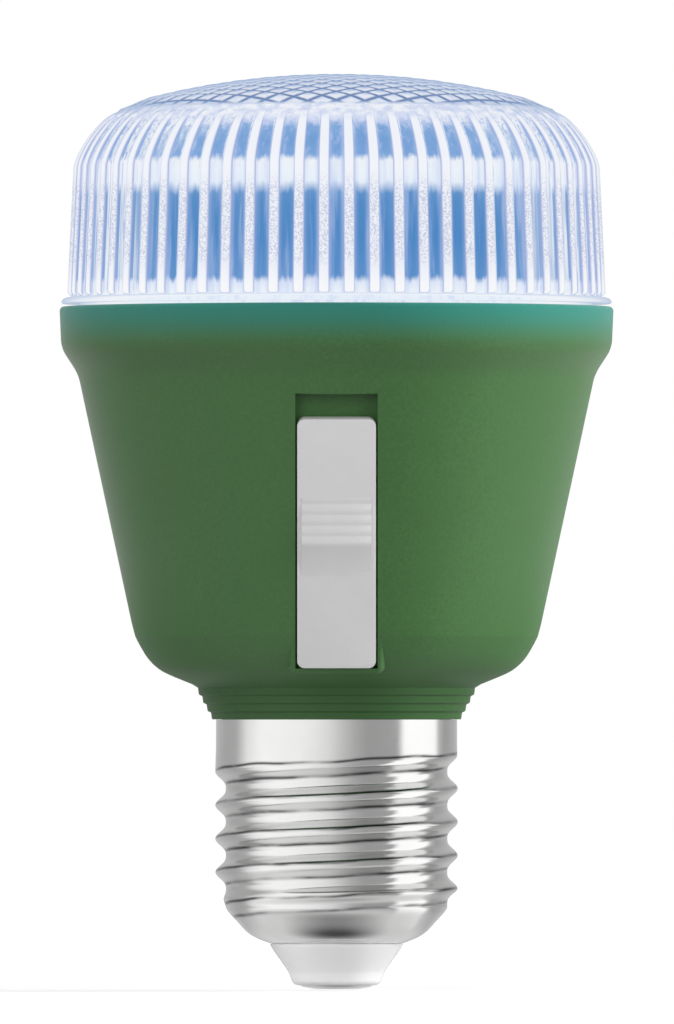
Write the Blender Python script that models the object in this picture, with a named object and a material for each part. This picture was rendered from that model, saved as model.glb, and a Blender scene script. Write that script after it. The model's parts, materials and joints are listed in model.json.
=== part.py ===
"""LED grow light bulb with a screw base, a fluted lens and a mode slider.

Sizes are in millimetres, and MM turns them into metres. The bulb stands on the
flat face of its centre contact, with its axis on Z and its slider facing -Y.
"""
import math

import bmesh
import bpy
from mathutils import Matrix, Vector
from mathutils.geometry import delaunay_2d_cdt

MM = 0.001
SEAT = 0.3
SMOOTH_ANGLE = math.radians(38)

# Screw shell, E27
THREAD_CREST_R = 13.13
THREAD_DEPTH = 1.13
THREAD_PITCH = 3.629
THREAD_LENGTH = 18.1
THREAD_CREST_RISE = 9.3
THREAD_CREST_POWER = 1.5
THREAD_FADE_TURNS = 0.42
SHELL_WALL = 0.35
SHELL_SKIRT_INSET = 0.08
SHELL_SKIRT_HEIGHT = 2.0
SHELL_BOWL_HEIGHT = 3.85
SHELL_EDGE_R = 7.25
SHELL_EDGE_Z = 4.95
SHELL_SEGMENTS = 30
OUTER_THREAD_ROWS = 5
INNER_THREAD_ROWS = 4

# Insulator and centre contact
CONTACT_FLAT_R = 1.9
CONTACT_DOME_WIDTH = 1.9
CONTACT_DOME_RISE = 0.29
CONTACT_THICK = 0.4
STUD_R = 1.05
STUD_HEAD_OVERHANG = 0.75
STUD_HEAD_THICK = 0.6
INSULATOR_TIP_R = 4.93
INSULATOR_OVERLAP = 0.15
INSULATOR_COLLAR_GAP = 0.35
INSULATOR_HEAD_OVERLAP = 0.95
INSULATOR_HEAD_LIFT = 0.9
INSULATOR_HEAD_THICK = 1.4

# Housing
RIM_R = 30.0
RIM_HEIGHT = 4.3
RIM_DRAFT = 0.16
FLARE_WIDTH = 2.1
FLARE_HEIGHT = 3.4
CONE_TAPER = 5.97
CONE_HEIGHT = 27.75
CORNER_HEIGHT = 5.7
CORNER_BLEND = 1.2
NECK_OVERHANG = 0.45
NECK_STEP_R = 0.47
NECK_HEIGHT = 3.55
NECK_STEPS = 4
HOUSING_WALL = 1.8
SPIGOT_WALL = 1.6
SPIGOT_LENGTH = 2.4
BOARD_LEDGE_DROP = 3.2
BOARD_LEDGE_THICK = 1.6
BOARD_LEDGE_WIDTH = 4.3
HOUSING_SEGMENTS = 40

# Lens
LENS_FLANGE_INSET = 0.2
LENS_FLANGE_LIP = 0.65
LENS_FLANGE_THICK = 0.75
LENS_SIDE_TAPER = 0.65
LENS_SIDE_HEIGHT = 14.8
LENS_SHOULDER_WIDTH = 5.1
LENS_SHOULDER_HEIGHT = 5.85
LENS_CROWN_HEIGHT = 4.25
LENS_WALL = 1.3
LENS_SKIRT_INSET = 1.35
LENS_SKIRT_WALL = 1.3
LENS_SKIRT_DROP = 1.8
RIB_COUNT = 66
RIB_HEIGHT = 0.5
RIB_WIDTH_SHARE = 0.44
CELL_WIDTH = 3.07
CELL_DEPTH = 3.4
CELL_RISE = 0.4
GASKET_THICK = 0.6
GASKET_WIDTH = 1.0

# Slider and its slot, measured along the cone's side
SLOT_DROP = 4.08
SLOT_WIDTH = 8.85
SLIDE_GAP = 0.2
SLIDER_LENGTH = 27.3
SLIDER_TRAVEL = 2.6
SLIDER_THICK = 1.6
SLIDER_DEPTH = 0.15
SLIDER_CORNER_R = 0.8
SLOT_WALL = 1.0
SLOT_FLOOR = 1.2
BOSS_DEPTH = 0.8
BOSS_DRAFT = 0.3
RAMP_INSET = 0.475
RAMP_FOOT_RISE = 9.92
RAMP_PEAK_RISE = 13.93
RAMP_TOP_RISE = 18.74
RAMP_HEIGHT = 1.15
GRIP_GROOVES = 4
GRIP_PITCH = 1.12
GRIP_DEPTH = 0.16
STEM_SIZE = 4.4
STEM_REACH = 4.6
KNOB_SIZE = 2.0
KNOB_FOOT_EDGE = 0.7
KNOB_SOCKET_DEPTH = 2.6
CLIP_THICK = 0.8
CLIP_SIDE = 1.8
CLIP_END = 1.5

# Slide switch and its board
SWITCH_WIDTH = 5.6
SWITCH_LENGTH = 10.6
SWITCH_HEIGHT = 3.8
SWITCH_SHEET = 0.4
SWITCH_BASE_THICK = 0.9
SWITCH_PIN_PITCH = 2.5
SWITCH_PIN_SIZE = 0.5
SWITCH_PIN_TAIL = 0.9
SWITCH_BOARD_MARGIN = 0.8
SWITCH_BOARD_WIDTH = 10.0
SWITCH_BOARD_THICK = 1.0
POST_R = 1.7
POST_SPREAD = 10.5
POST_SCREW_R = 0.7

# LED board, heat spreader and screws
LED_BOARD_GAP = 0.4
LED_BOARD_INSET = 0.6
LED_BOARD_THICK = 1.4
SPREADER_THICK = 1.0
SPREADER_SKIRT_GAP = 0.73
WIRE_HOLE_R = 3.3
BOARD_SCREW_R = 1.05
BOARD_SCREW_LENGTH = 3.5
BOARD_SCREW_HEAD_R = 1.8
BOARD_SCREW_HEAD_THICK = 0.9
BOARD_SCREW_INSET = 2.3
BOARD_SCREW_ANGLES = (90, 210, 330)
SCREW_BOSS_R = 2.2
SCREW_BOSS_FLOOR = 0.8
LED_SIZE = 3.0
LED_THICK = 0.7
LED_INNER_RING_R = 8.0
LED_OUTER_RING_INSET = 8.4
LED_INNER_COUNT = 5
LED_OUTER_COUNT = 10

# Driver board and its parts
DRIVER_Y = 2.2
DRIVER_THICK = 1.6
DRIVER_SIDE_GAP = 3.93
DRIVER_LIFT = 1.55
DRIVER_HEADROOM = 1.0
DRIVER_PART_INSET = 7.0
CAPACITOR_R = 4.0
CAPACITOR_GAP = 2.73
FILM_WIDTH = 9.0
FILM_HEIGHT = 5.0
FILM_DEPTH = 5.0
FILM_RISE = 4.5
CHIP_WIDTH = 5.0
CHIP_HEIGHT = 4.0
CHIP_DEPTH = 1.5
CHIP_DROP = 4.5
RECTIFIER_DEPTH = 2.4
RECTIFIER_DROP = 4.0
CHOKE_R = 3.6
CHOKE_CORE_R = 1.6
CHOKE_FLANGE = 1.0
CHOKE_LENGTH = 6.0
CHOKE_RISE = 4.5
RESISTOR_R = 1.3
RESISTOR_LENGTH = 7.0
RESISTOR_DROP = 2.0
TONGUE_SIDE_GAP = 2.4
TONGUE_FOOT_GAP = 4.9
GUIDE_THICK = 1.2
GUIDE_OVERLAP = 0.9
WIRE_R = 0.6

# Derived heights, from the centre contact upwards
THREAD_BOTTOM = SHELL_EDGE_Z + SHELL_BOWL_HEIGHT
THREAD_TOP = THREAD_BOTTOM + THREAD_LENGTH
THREAD_PHASE_Z = THREAD_BOTTOM + THREAD_CREST_RISE
SHELL_TOP = THREAD_TOP + SHELL_SKIRT_HEIGHT
INSULATOR_HEAD_LOW = SHELL_EDGE_Z + SHELL_WALL + INSULATOR_HEAD_LIFT
INSULATOR_HEAD_TOP = INSULATOR_HEAD_LOW + INSULATOR_HEAD_THICK
NECK_BOTTOM = SHELL_TOP + SEAT
NECK_TOP = NECK_BOTTOM + NECK_HEIGHT
CORNER_Z = NECK_TOP + CORNER_HEIGHT
CONE_TOP_Z = CORNER_Z + CONE_HEIGHT
RIM_BOTTOM_Z = CONE_TOP_Z + FLARE_HEIGHT
RIM_TOP_Z = RIM_BOTTOM_Z + RIM_HEIGHT
LENS_BOTTOM = RIM_TOP_Z + SEAT
LENS_SHOULDER_Z = LENS_BOTTOM + LENS_SIDE_HEIGHT
LENS_CROWN_Z = LENS_SHOULDER_Z + LENS_SHOULDER_HEIGHT
LENS_TOP = LENS_CROWN_Z + LENS_CROWN_HEIGHT
LENS_LEDGE_Z = LENS_BOTTOM - LENS_SKIRT_DROP - GASKET_THICK - 2 * SEAT
BOARD_LEDGE_Z = LENS_LEDGE_Z - BOARD_LEDGE_DROP
SPREADER_LOW = BOARD_LEDGE_Z + SEAT
LED_BOARD_LOW = SPREADER_LOW + SPREADER_THICK + SEAT
LED_BOARD_TOP = LED_BOARD_LOW + LED_BOARD_THICK
DRIVER_LOW_Z = CORNER_Z + DRIVER_LIFT
TONGUE_LOW_Z = INSULATOR_HEAD_TOP + TONGUE_FOOT_GAP

# Derived radii, from the rim and the thread inwards
THREAD_ROOT_R = THREAD_CREST_R - THREAD_DEPTH
SHELL_SKIRT_R = THREAD_CREST_R - SHELL_SKIRT_INSET
NECK_R = SHELL_SKIRT_R + NECK_OVERHANG
SPIGOT_R = SHELL_SKIRT_R - SHELL_WALL - SEAT
BORE_R = SPIGOT_R - SPIGOT_WALL
CONTACT_R = CONTACT_FLAT_R + CONTACT_DOME_WIDTH
STUD_HEAD_R = STUD_R + STUD_HEAD_OVERHANG
INSULATOR_TOP_R = SHELL_EDGE_R + INSULATOR_OVERLAP
INSULATOR_COLLAR_R = SHELL_EDGE_R - INSULATOR_COLLAR_GAP
INSULATOR_HEAD_R = SHELL_EDGE_R + INSULATOR_HEAD_OVERLAP
CONE_TOP_R = RIM_R - FLARE_WIDTH
CORNER_R = CONE_TOP_R - CONE_TAPER
LENS_FLANGE_R = RIM_R - LENS_FLANGE_INSET
LENS_FOOT_R = LENS_FLANGE_R - LENS_FLANGE_LIP
LENS_SHOULDER_R = LENS_FOOT_R - LENS_SIDE_TAPER
LENS_CROWN_R = LENS_SHOULDER_R - LENS_SHOULDER_WIDTH
LENS_SKIRT_R = LENS_FOOT_R - LENS_SKIRT_INSET
RIM_BORE_R = LENS_SKIRT_R + SEAT
LED_BOARD_R = LENS_SKIRT_R - LENS_SKIRT_WALL - LED_BOARD_INSET
LEDGE_OUTER_R = LED_BOARD_R + LED_BOARD_GAP
LEDGE_INNER_R = LEDGE_OUTER_R - BOARD_LEDGE_WIDTH
BOARD_SCREW_CIRCLE_R = LED_BOARD_R - BOARD_SCREW_INSET
LED_OUTER_RING_R = LED_BOARD_R - LED_OUTER_RING_INSET
DRIVER_HALF_WIDTH = CORNER_R - DRIVER_SIDE_GAP
TONGUE_HALF_WIDTH = BORE_R - TONGUE_SIDE_GAP
CONE_SLOPE = CONE_TAPER / CONE_HEIGHT
CONE_ANGLE = math.atan(CONE_SLOPE)
CONE_FOOT_R = CORNER_R - CONE_SLOPE * CORNER_Z

# Derived sizes of the slot, the slider and the switch
SLOT_LOW = CORNER_Z / math.cos(CONE_ANGLE) - SLOT_DROP
SLIDER_WIDTH = SLOT_WIDTH - 2 * SLIDE_GAP
SLIDER_LOW = SLOT_LOW + SLIDE_GAP
SLIDER_MID = SLIDER_LOW + SLIDER_LENGTH / 2
SLOT_HIGH = SLIDER_LOW + SLIDER_LENGTH + SLIDER_TRAVEL + SLIDE_GAP
RAMP_WIDTH = SLIDER_WIDTH - 2 * RAMP_INSET
CLIP_WIDTH = STEM_SIZE + 2 * CLIP_SIDE
CLIP_LENGTH = STEM_SIZE + 2 * CLIP_END
KNOB_FOOT_SIZE = KNOB_SIZE + 2 * KNOB_FOOT_EDGE
SWITCH_BOARD_LENGTH = 2 * (POST_SPREAD + POST_R + SWITCH_BOARD_MARGIN)
SLIDER_BACK = SLIDER_DEPTH + SLIDER_THICK
FLOOR_FRONT = SLIDER_BACK + SEAT
FLOOR_BACK = FLOOR_FRONT + SLOT_FLOOR
STEM_END = SLIDER_BACK + STEM_REACH
KNOB_TOP = STEM_END - KNOB_SOCKET_DEPTH + SEAT
SWITCH_FRONT = STEM_END + SEAT
SWITCH_BACK = SWITCH_FRONT + SWITCH_HEIGHT
SWITCH_BOARD_FRONT = SWITCH_BACK + SWITCH_BASE_THICK + SEAT
SWITCH_BOARD_BACK = SWITCH_BOARD_FRONT + SWITCH_BOARD_THICK

# What keeps clear of the switch: the spreader's skirt, the driver board and its capacitor
POST_TOP = SLIDER_MID + POST_SPREAD + POST_R
SPREADER_SKIRT_LOW = (
    POST_TOP * math.cos(CONE_ANGLE) + SWITCH_FRONT * math.sin(CONE_ANGLE) + SPREADER_SKIRT_GAP
)
DRIVER_TOP_Z = SPREADER_SKIRT_LOW - DRIVER_HEADROOM
SWITCH_PIN_END_Y = (
    (SWITCH_BOARD_BACK + SWITCH_PIN_TAIL) * math.cos(CONE_ANGLE)
    - SLIDER_MID * math.sin(CONE_ANGLE)
    - CONE_FOOT_R
)
CAPACITOR_END_Y = SWITCH_PIN_END_Y + CAPACITOR_GAP


def clear_scene():
    for item in list(bpy.data.objects):
        bpy.data.objects.remove(item, do_unlink=True)


def make_material(name, colour, roughness, metallic=0.0, transmission=0.0, glow=None):
    material = bpy.data.materials.new(name)
    material.use_nodes = True
    shader = material.node_tree.nodes["Principled BSDF"]
    shader.inputs["Base Color"].default_value = (*colour, 1.0)
    shader.inputs["Roughness"].default_value = roughness
    shader.inputs["Metallic"].default_value = metallic
    shader.inputs["Transmission Weight"].default_value = transmission
    if glow:
        shader.inputs["Emission Color"].default_value = (*glow, 1.0)
        shader.inputs["Emission Strength"].default_value = 2.0
    return material


def finish(name, bm, material, smooth=True, origin=(0.0, 0.0, 0.0), tilt=0.0):
    """Turns a bmesh in millimetres into a named object. Edges marked as seams stay sharp."""
    bmesh.ops.recalc_face_normals(bm, faces=bm.faces)
    bmesh.ops.translate(bm, verts=bm.verts, vec=-Vector(origin))
    bmesh.ops.scale(bm, verts=bm.verts, vec=(MM, MM, MM))
    mesh = bpy.data.meshes.new(name)
    bm.to_mesh(mesh)
    bm.free()
    if smooth:
        mesh.shade_smooth()
        mesh.set_sharp_from_angle(angle=SMOOTH_ANGLE)
        for edge in mesh.edges:
            edge.use_edge_sharp = edge.use_edge_sharp or edge.use_seam
    item = bpy.data.objects.new(name, mesh)
    bpy.context.scene.collection.objects.link(item)
    if material:
        mesh.materials.append(material)
    item.location = Vector(origin) * MM
    if tilt:
        turn = Matrix.Rotation(tilt, 4, "X")
        start = Vector((0.0, -CONE_FOOT_R, 0.0))
        item.location = (start + turn @ Vector(origin)) * MM
        item.rotation_euler = (tilt, 0.0, 0.0)
    return item


def lathe(profile, segments):
    """Turns a closed loop of (radius, height) points round the Z axis."""
    bm = bmesh.new()
    rings = []
    for radius, height in profile:
        if radius < 1e-6:
            rings.append([bm.verts.new((0.0, 0.0, height))])
            continue
        ring = []
        for index in range(segments):
            angle = 2 * math.pi * index / segments
            ring.append(bm.verts.new((radius * math.cos(angle), radius * math.sin(angle), height)))
        rings.append(ring)
    for index, ring in enumerate(rings):
        join_rings(bm, ring, rings[(index + 1) % len(rings)])
    return bm


def join_rings(bm, low, high):
    """Joins two rings, also where one of them is a point or has fewer corners."""
    if len(low) == 1 and len(high) == 1:
        return
    if len(low) < len(high):
        low, high = high, low
    count = len(low)
    if len(high) == 1:
        for index in range(count):
            bm.faces.new((low[index], low[(index + 1) % count], high[0]))
        return
    share = count // len(high)
    for index in range(count):
        after = (index + 1) % count
        top = high[index // share]
        top_after = high[(index // share + 1) % len(high)]
        if share == 1:
            bm.faces.new((low[index], low[after], top_after, top))
        elif index % share == share // 2:
            bm.faces.new((low[index], low[after], top_after))
            bm.faces.new((low[index], top_after, top))
        elif index % share > share // 2:
            bm.faces.new((low[index], low[after], top_after))
        else:
            bm.faces.new((low[index], low[after], top))


def add_box(bm, low, high):
    """Adds a box between two opposite corners."""
    centre = [(a + b) / 2 for a, b in zip(low, high)]
    size = [abs(b - a) for a, b in zip(low, high)]
    place = Matrix.Translation(centre) @ Matrix.Diagonal((*size, 1.0))
    bmesh.ops.create_cube(bm, size=1.0, matrix=place)


def box(low, high):
    bm = bmesh.new()
    add_box(bm, low, high)
    return bm


def cylinder(radius, low, high, centre=(0.0, 0.0), axis="Z", segments=16):
    """A cylinder along Z, or along Y with its centre given as (x, z)."""
    bm = bmesh.new()
    bmesh.ops.create_cone(
        bm,
        cap_ends=True,
        segments=segments,
        radius1=radius,
        radius2=radius,
        depth=high - low,
    )
    half_step = Matrix.Rotation(math.pi / segments, 3, "Z")
    bmesh.ops.rotate(bm, verts=bm.verts, matrix=half_step)
    bmesh.ops.translate(bm, verts=bm.verts, vec=(0.0, 0.0, (low + high) / 2))
    if axis == "Y":
        bmesh.ops.rotate(bm, verts=bm.verts, matrix=Matrix.Rotation(-math.pi / 2, 3, "X"))
        bmesh.ops.translate(bm, verts=bm.verts, vec=(centre[0], 0.0, centre[1]))
    else:
        bmesh.ops.translate(bm, verts=bm.verts, vec=(centre[0], centre[1], 0.0))
    return bm


def prism(outline, low, high, axis):
    """Extrudes a flat outline: along Y it holds (x, z), along X it holds (y, z)."""
    bm = bmesh.new()
    ends = []
    for level in (low, high):
        ring = []
        for first, second in outline:
            place = (first, level, second) if axis == "Y" else (level, first, second)
            ring.append(bm.verts.new(place))
        ends.append(ring)
    count = len(outline)
    for index in range(count):
        after = (index + 1) % count
        bm.faces.new((ends[0][index], ends[0][after], ends[1][after], ends[1][index]))
    bm.faces.new(ends[0])
    bm.faces.new(ends[1])
    return bm


def frustum(front, back):
    """A block whose ends are rectangles: half width, low end, high end and depth."""
    bm = bmesh.new()
    ends = []
    for half, low, high, depth in (front, back):
        places = ((-half, low), (half, low), (half, high), (-half, high))
        ends.append([bm.verts.new((x, depth, z)) for x, z in places])
    join_rings(bm, ends[0], ends[1])
    bm.faces.new(ends[0])
    bm.faces.new(ends[1])
    return bm


def tube(path, radius, sides=6):
    """Sweeps a round wire along a list of points."""
    bm = bmesh.new()
    points = [Vector(point) for point in path]
    rings = []
    reference = Vector((0.0, 1.0, 0.0))
    for index, point in enumerate(points):
        before = points[max(index - 1, 0)]
        after = points[min(index + 1, len(points) - 1)]
        along = (after - before).normalized()
        side = along.cross(reference)
        if side.length < 0.2:
            side = along.cross(Vector((1.0, 0.0, 0.0)))
        side.normalize()
        up = side.cross(along)
        reference = up
        ring = []
        for step in range(sides):
            angle = 2 * math.pi * step / sides
            ring.append(bm.verts.new(point + radius * (math.cos(angle) * side + math.sin(angle) * up)))
        rings.append(ring)
    for low, high in zip(rings, rings[1:]):
        join_rings(bm, low, high)
    bm.faces.new(rings[0])
    bm.faces.new(rings[-1])
    return bm


def tilt_mesh(bm):
    """Lays a shape from the slot's own frame into the bulb's frame."""
    turn = Matrix.Translation((0.0, -CONE_FOOT_R, 0.0)) @ Matrix.Rotation(CONE_ANGLE, 4, "X")
    bmesh.ops.transform(bm, matrix=turn, verts=bm.verts)
    return bm


def combine(base, tools):
    """Applies exact Booleans to a bmesh: tools holds (operation, bmesh) pairs."""
    body = finish("work", base, None, smooth=False)
    for operation, tool in tools:
        cutter = finish("cutter", tool, None, smooth=False)
        cutter.hide_render = True
        cutter.display_type = "WIRE"
        step = body.modifiers.new("step", "BOOLEAN")
        step.operation = operation
        step.solver = "EXACT"
        step.object = cutter
        graph = bpy.context.evaluated_depsgraph_get()
        mesh = bpy.data.meshes.new_from_object(body.evaluated_get(graph))
        body.modifiers.remove(step)
        body.data = mesh
        bpy.data.objects.remove(cutter, do_unlink=True)
    bm = bmesh.new()
    bm.from_mesh(body.data)
    bpy.data.objects.remove(body, do_unlink=True)
    bmesh.ops.scale(bm, verts=bm.verts, vec=(1 / MM, 1 / MM, 1 / MM))
    bmesh.ops.remove_doubles(bm, verts=bm.verts, dist=1e-4)
    return bm


def cone_radius(height):
    """Radius of the housing's outer cone at a height."""
    return CORNER_R + CONE_SLOPE * (height - CORNER_Z)


# Base pieces


def thread_radius(height, turn, offset):
    """Radius of the rolled thread at a height and a share of a turn.

    The lowest groove starts in the bowl. The top groove climbs on and fades into the skirt.
    """
    phase = (height - THREAD_PHASE_Z) / THREAD_PITCH - turn
    crest = (0.5 + 0.5 * math.cos(2 * math.pi * phase)) ** THREAD_CREST_POWER
    run_in = min(1.0, max(0.0, (height - THREAD_BOTTOM) / (0.6 * THREAD_PITCH)))
    groove_turns = math.floor(phase - 1e-6) + turn
    last_turns = (THREAD_TOP - THREAD_PHASE_Z) / THREAD_PITCH - 1
    run_out = min(1.0, max(0.0, (last_turns - groove_turns) / THREAD_FADE_TURNS))
    top_r = SHELL_SKIRT_R + (THREAD_CREST_R - SHELL_SKIRT_R) * run_out
    return top_r - THREAD_DEPTH * (1 - crest * run_in) * run_out - offset


def thread_columns(bm, rows_per_turn, offset):
    """Rows of points that follow the thread, so its crest stays even all round."""
    columns = []
    row_rise = THREAD_PITCH / rows_per_turn
    margin = 0.3 * row_rise
    for index in range(SHELL_SEGMENTS):
        turn = index / SHELL_SEGMENTS
        angle = 2 * math.pi * turn
        column = {}
        first = math.floor((THREAD_BOTTOM - THREAD_PHASE_Z) / row_rise) - rows_per_turn - 1
        last = math.ceil((THREAD_TOP - THREAD_PHASE_Z) / row_rise) + 1
        for row in range(first, last + 1):
            height = THREAD_PHASE_Z + row * row_rise + turn * THREAD_PITCH
            if THREAD_BOTTOM + margin < height < THREAD_TOP - margin:
                radius = thread_radius(height, turn, offset)
                column[row] = bm.verts.new((radius * math.cos(angle), radius * math.sin(angle), height))
        columns.append(column)
    return columns


def fill_thread(bm, columns, rows_per_turn, low_ring, high_ring):
    """Joins the thread's columns with each other and with the level rings at its ends."""
    count = len(columns)
    for index in range(count):
        after = (index + 1) % count
        shift = rows_per_turn if after == 0 else 0
        left = [low_ring[index]]
        right = [low_ring[after]]
        here = columns[index]
        there = {row - shift: vert for row, vert in columns[after].items()}
        shared = sorted(set(here) & set(there))
        left += [here[row] for row in sorted(here) if row < shared[0]]
        right += [there[row] for row in sorted(there) if row < shared[0]]
        for row in shared:
            left.append(here[row])
            right.append(there[row])
            bm.faces.new(right + left[::-1])
            left = [here[row]]
            right = [there[row]]
        left += [here[row] for row in sorted(here) if row > shared[-1]]
        right += [there[row] for row in sorted(there) if row > shared[-1]]
        bm.faces.new(right + [high_ring[after], high_ring[index]] + left[::-1])


def level_ring(bm, radius, height, segments):
    ring = []
    for index in range(segments):
        angle = 2 * math.pi * index / segments
        ring.append(bm.verts.new((radius * math.cos(angle), radius * math.sin(angle), height)))
    return ring


def make_screw_shell(material):
    """Rolled sheet shell: an outer and an inner skin with the same thread."""
    bm = bmesh.new()
    span_r = THREAD_ROOT_R - SHELL_EDGE_R
    span_z = THREAD_BOTTOM - SHELL_EDGE_Z
    dome = ((0.0, 0.0), (0.29, 0.14), (0.52, 0.32), (0.77, 0.65), (1.0, 1.0))
    rings = {}
    for skin, offset in (("outer", 0.0), ("inner", SHELL_WALL)):
        rings[skin] = []
        for step, (share_r, share_z) in enumerate(dome):
            radius = SHELL_EDGE_R + share_r * span_r - offset * share_r
            height = SHELL_EDGE_Z + share_z * span_z + offset * (1.0 - share_z)
            rings[skin].append(level_ring(bm, radius, height, SHELL_SEGMENTS))
    for skin, offset, rows in (
        ("outer", 0.0, OUTER_THREAD_ROWS),
        ("inner", SHELL_WALL, INNER_THREAD_ROWS),
    ):
        for low, high in zip(rings[skin], rings[skin][1:]):
            join_rings(bm, low, high)
        top = level_ring(bm, SHELL_SKIRT_R - offset, THREAD_TOP + 0.5, SHELL_SEGMENTS)
        end = level_ring(bm, SHELL_SKIRT_R - offset, SHELL_TOP, SHELL_SEGMENTS)
        columns = thread_columns(bm, rows, offset)
        fill_thread(bm, columns, rows, rings[skin][-1], top)
        join_rings(bm, top, end)
        rings[skin].append(end)
    join_rings(bm, rings["outer"][0], rings["inner"][0])
    join_rings(bm, rings["outer"][-1], rings["inner"][-1])
    bmesh.ops.triangulate(bm, faces=[face for face in bm.faces if len(face.verts) > 4])
    return finish("screw_shell", bm, material)


def make_insulator(material):
    top = SHELL_EDGE_Z - SEAT
    tip = CONTACT_THICK + SEAT
    bore = STUD_R + SEAT
    slope_r = INSULATOR_TOP_R - INSULATOR_TIP_R
    profile = [
        (bore, tip),
        (CONTACT_R + SEAT, tip),
        (CONTACT_R + SEAT, tip - SEAT),
        (INSULATOR_TIP_R - 0.5, tip - 0.15),
        (INSULATOR_TIP_R - 0.12, tip + 0.15),
        (INSULATOR_TIP_R + 0.05 * slope_r, tip + 0.8),
        (INSULATOR_TIP_R + 0.23 * slope_r, tip + 0.42 * (top - tip)),
        (INSULATOR_TOP_R - 0.08 * slope_r, top - 0.1 * (top - tip)),
        (INSULATOR_TOP_R, top),
        (INSULATOR_COLLAR_R, top),
        (INSULATOR_COLLAR_R, INSULATOR_HEAD_LOW - 0.35),
        (INSULATOR_HEAD_R, INSULATOR_HEAD_LOW),
        (INSULATOR_HEAD_R, INSULATOR_HEAD_TOP),
        (bore, INSULATOR_HEAD_TOP),
    ]
    return finish("base_insulator", lathe(profile, 24), material)


def make_contact(material):
    """Riveted centre contact with a flat face at the bottom of the bulb."""
    head_low = INSULATOR_HEAD_TOP + SEAT
    profile = [
        (0.0, 0.0),
        (CONTACT_FLAT_R, 0.0),
        (CONTACT_FLAT_R + 0.5 * CONTACT_DOME_WIDTH, 0.4 * CONTACT_DOME_RISE),
        (CONTACT_R, CONTACT_DOME_RISE),
        (CONTACT_R, CONTACT_THICK),
        (STUD_R, CONTACT_THICK),
        (STUD_R, head_low),
        (STUD_HEAD_R, head_low),
        (STUD_HEAD_R, head_low + STUD_HEAD_THICK),
        (0.0, head_low + STUD_HEAD_THICK),
    ]
    return finish("centre_contact", lathe(profile, 18), material)


# Housing


def neck_profile():
    """Stepped rings of the neck, one above the other."""
    points = []
    rise = (NECK_TOP - NECK_BOTTOM) / NECK_STEPS
    for step in range(NECK_STEPS):
        radius = NECK_R + step * NECK_STEP_R
        low = NECK_BOTTOM + step * rise
        points.append((radius, low))
        points.append((radius + 0.1, low + 0.85 * rise))
    return points


def corner_profile():
    """Shallow floor and rounded corner between the neck and the cone."""
    start_r = NECK_R + (NECK_STEPS - 1) * NECK_STEP_R + 0.1
    span_r = CORNER_R - start_r
    span_z = CORNER_Z - NECK_TOP
    shares = (
        (0.0, 0.0),
        (0.46, 0.23),
        (0.64, 0.36),
        (0.78, 0.53),
        (0.89, 0.74),
        (0.968, 0.92),
        (0.992, 1.0),
    )
    points = [(start_r + a * span_r, NECK_TOP + b * span_z) for a, b in shares]
    blend_z = CORNER_Z + CORNER_BLEND
    return points + [(cone_radius(blend_z), blend_z)]


def housing_profile():
    inner_corner_z = CORNER_Z + 0.4
    wall = HOUSING_WALL / math.cos(CONE_ANGLE)
    under = BOARD_LEDGE_Z - BOARD_LEDGE_THICK
    rim_low_r = RIM_R - RIM_DRAFT
    span_r = rim_low_r - CONE_TOP_R
    span_z = RIM_BOTTOM_Z - CONE_TOP_Z
    outer = [(SPIGOT_R, NECK_BOTTOM - SPIGOT_LENGTH), (SPIGOT_R, NECK_BOTTOM)]
    outer += neck_profile() + corner_profile()
    outer += [
        (CONE_TOP_R, CONE_TOP_Z),
        (CONE_TOP_R + 0.22 * span_r, CONE_TOP_Z + 0.27 * span_z),
        (CONE_TOP_R + 0.85 * span_r, CONE_TOP_Z + 0.82 * span_z),
        (rim_low_r, RIM_BOTTOM_Z + 0.3),
        (RIM_R, RIM_TOP_Z - 0.3),
        (RIM_R - 0.25, RIM_TOP_Z),
    ]
    ledge_root = under - (LEDGE_OUTER_R - LEDGE_INNER_R) * 0.5
    inner = [
        (RIM_BORE_R, RIM_TOP_Z),
        (RIM_BORE_R, LENS_LEDGE_Z),
        (LEDGE_OUTER_R, LENS_LEDGE_Z),
        (LEDGE_OUTER_R, BOARD_LEDGE_Z),
        (LEDGE_INNER_R, BOARD_LEDGE_Z),
        (LEDGE_INNER_R, under),
        (cone_radius(ledge_root) - wall, ledge_root),
        (cone_radius(inner_corner_z) - wall, inner_corner_z),
        (CORNER_R - 2.1 * HOUSING_WALL, CORNER_Z - 2.0),
        (NECK_R + 0.8, NECK_TOP + HOUSING_WALL),
        (BORE_R, NECK_TOP + 0.6 * HOUSING_WALL),
        (BORE_R, NECK_BOTTOM - SPIGOT_LENGTH),
    ]
    return outer + inner


def guide_outline(side):
    """Outline of a board guide, which runs out into the cone's wall."""
    low = DRIVER_LOW_Z + 2.0
    high = DRIVER_TOP_Z - 2.5
    inner = DRIVER_HALF_WIDTH - GUIDE_OVERLAP
    far = DRIVER_Y + DRIVER_THICK + SEAT + GUIDE_THICK
    outline = [(inner, low)]
    for height in (low, high):
        middle = cone_radius(height) - 0.5 * HOUSING_WALL
        outline.append((math.sqrt(middle * middle - far * far), height))
    outline.append((inner, high))
    return [(side * x, z) for x, z in outline]


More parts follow.
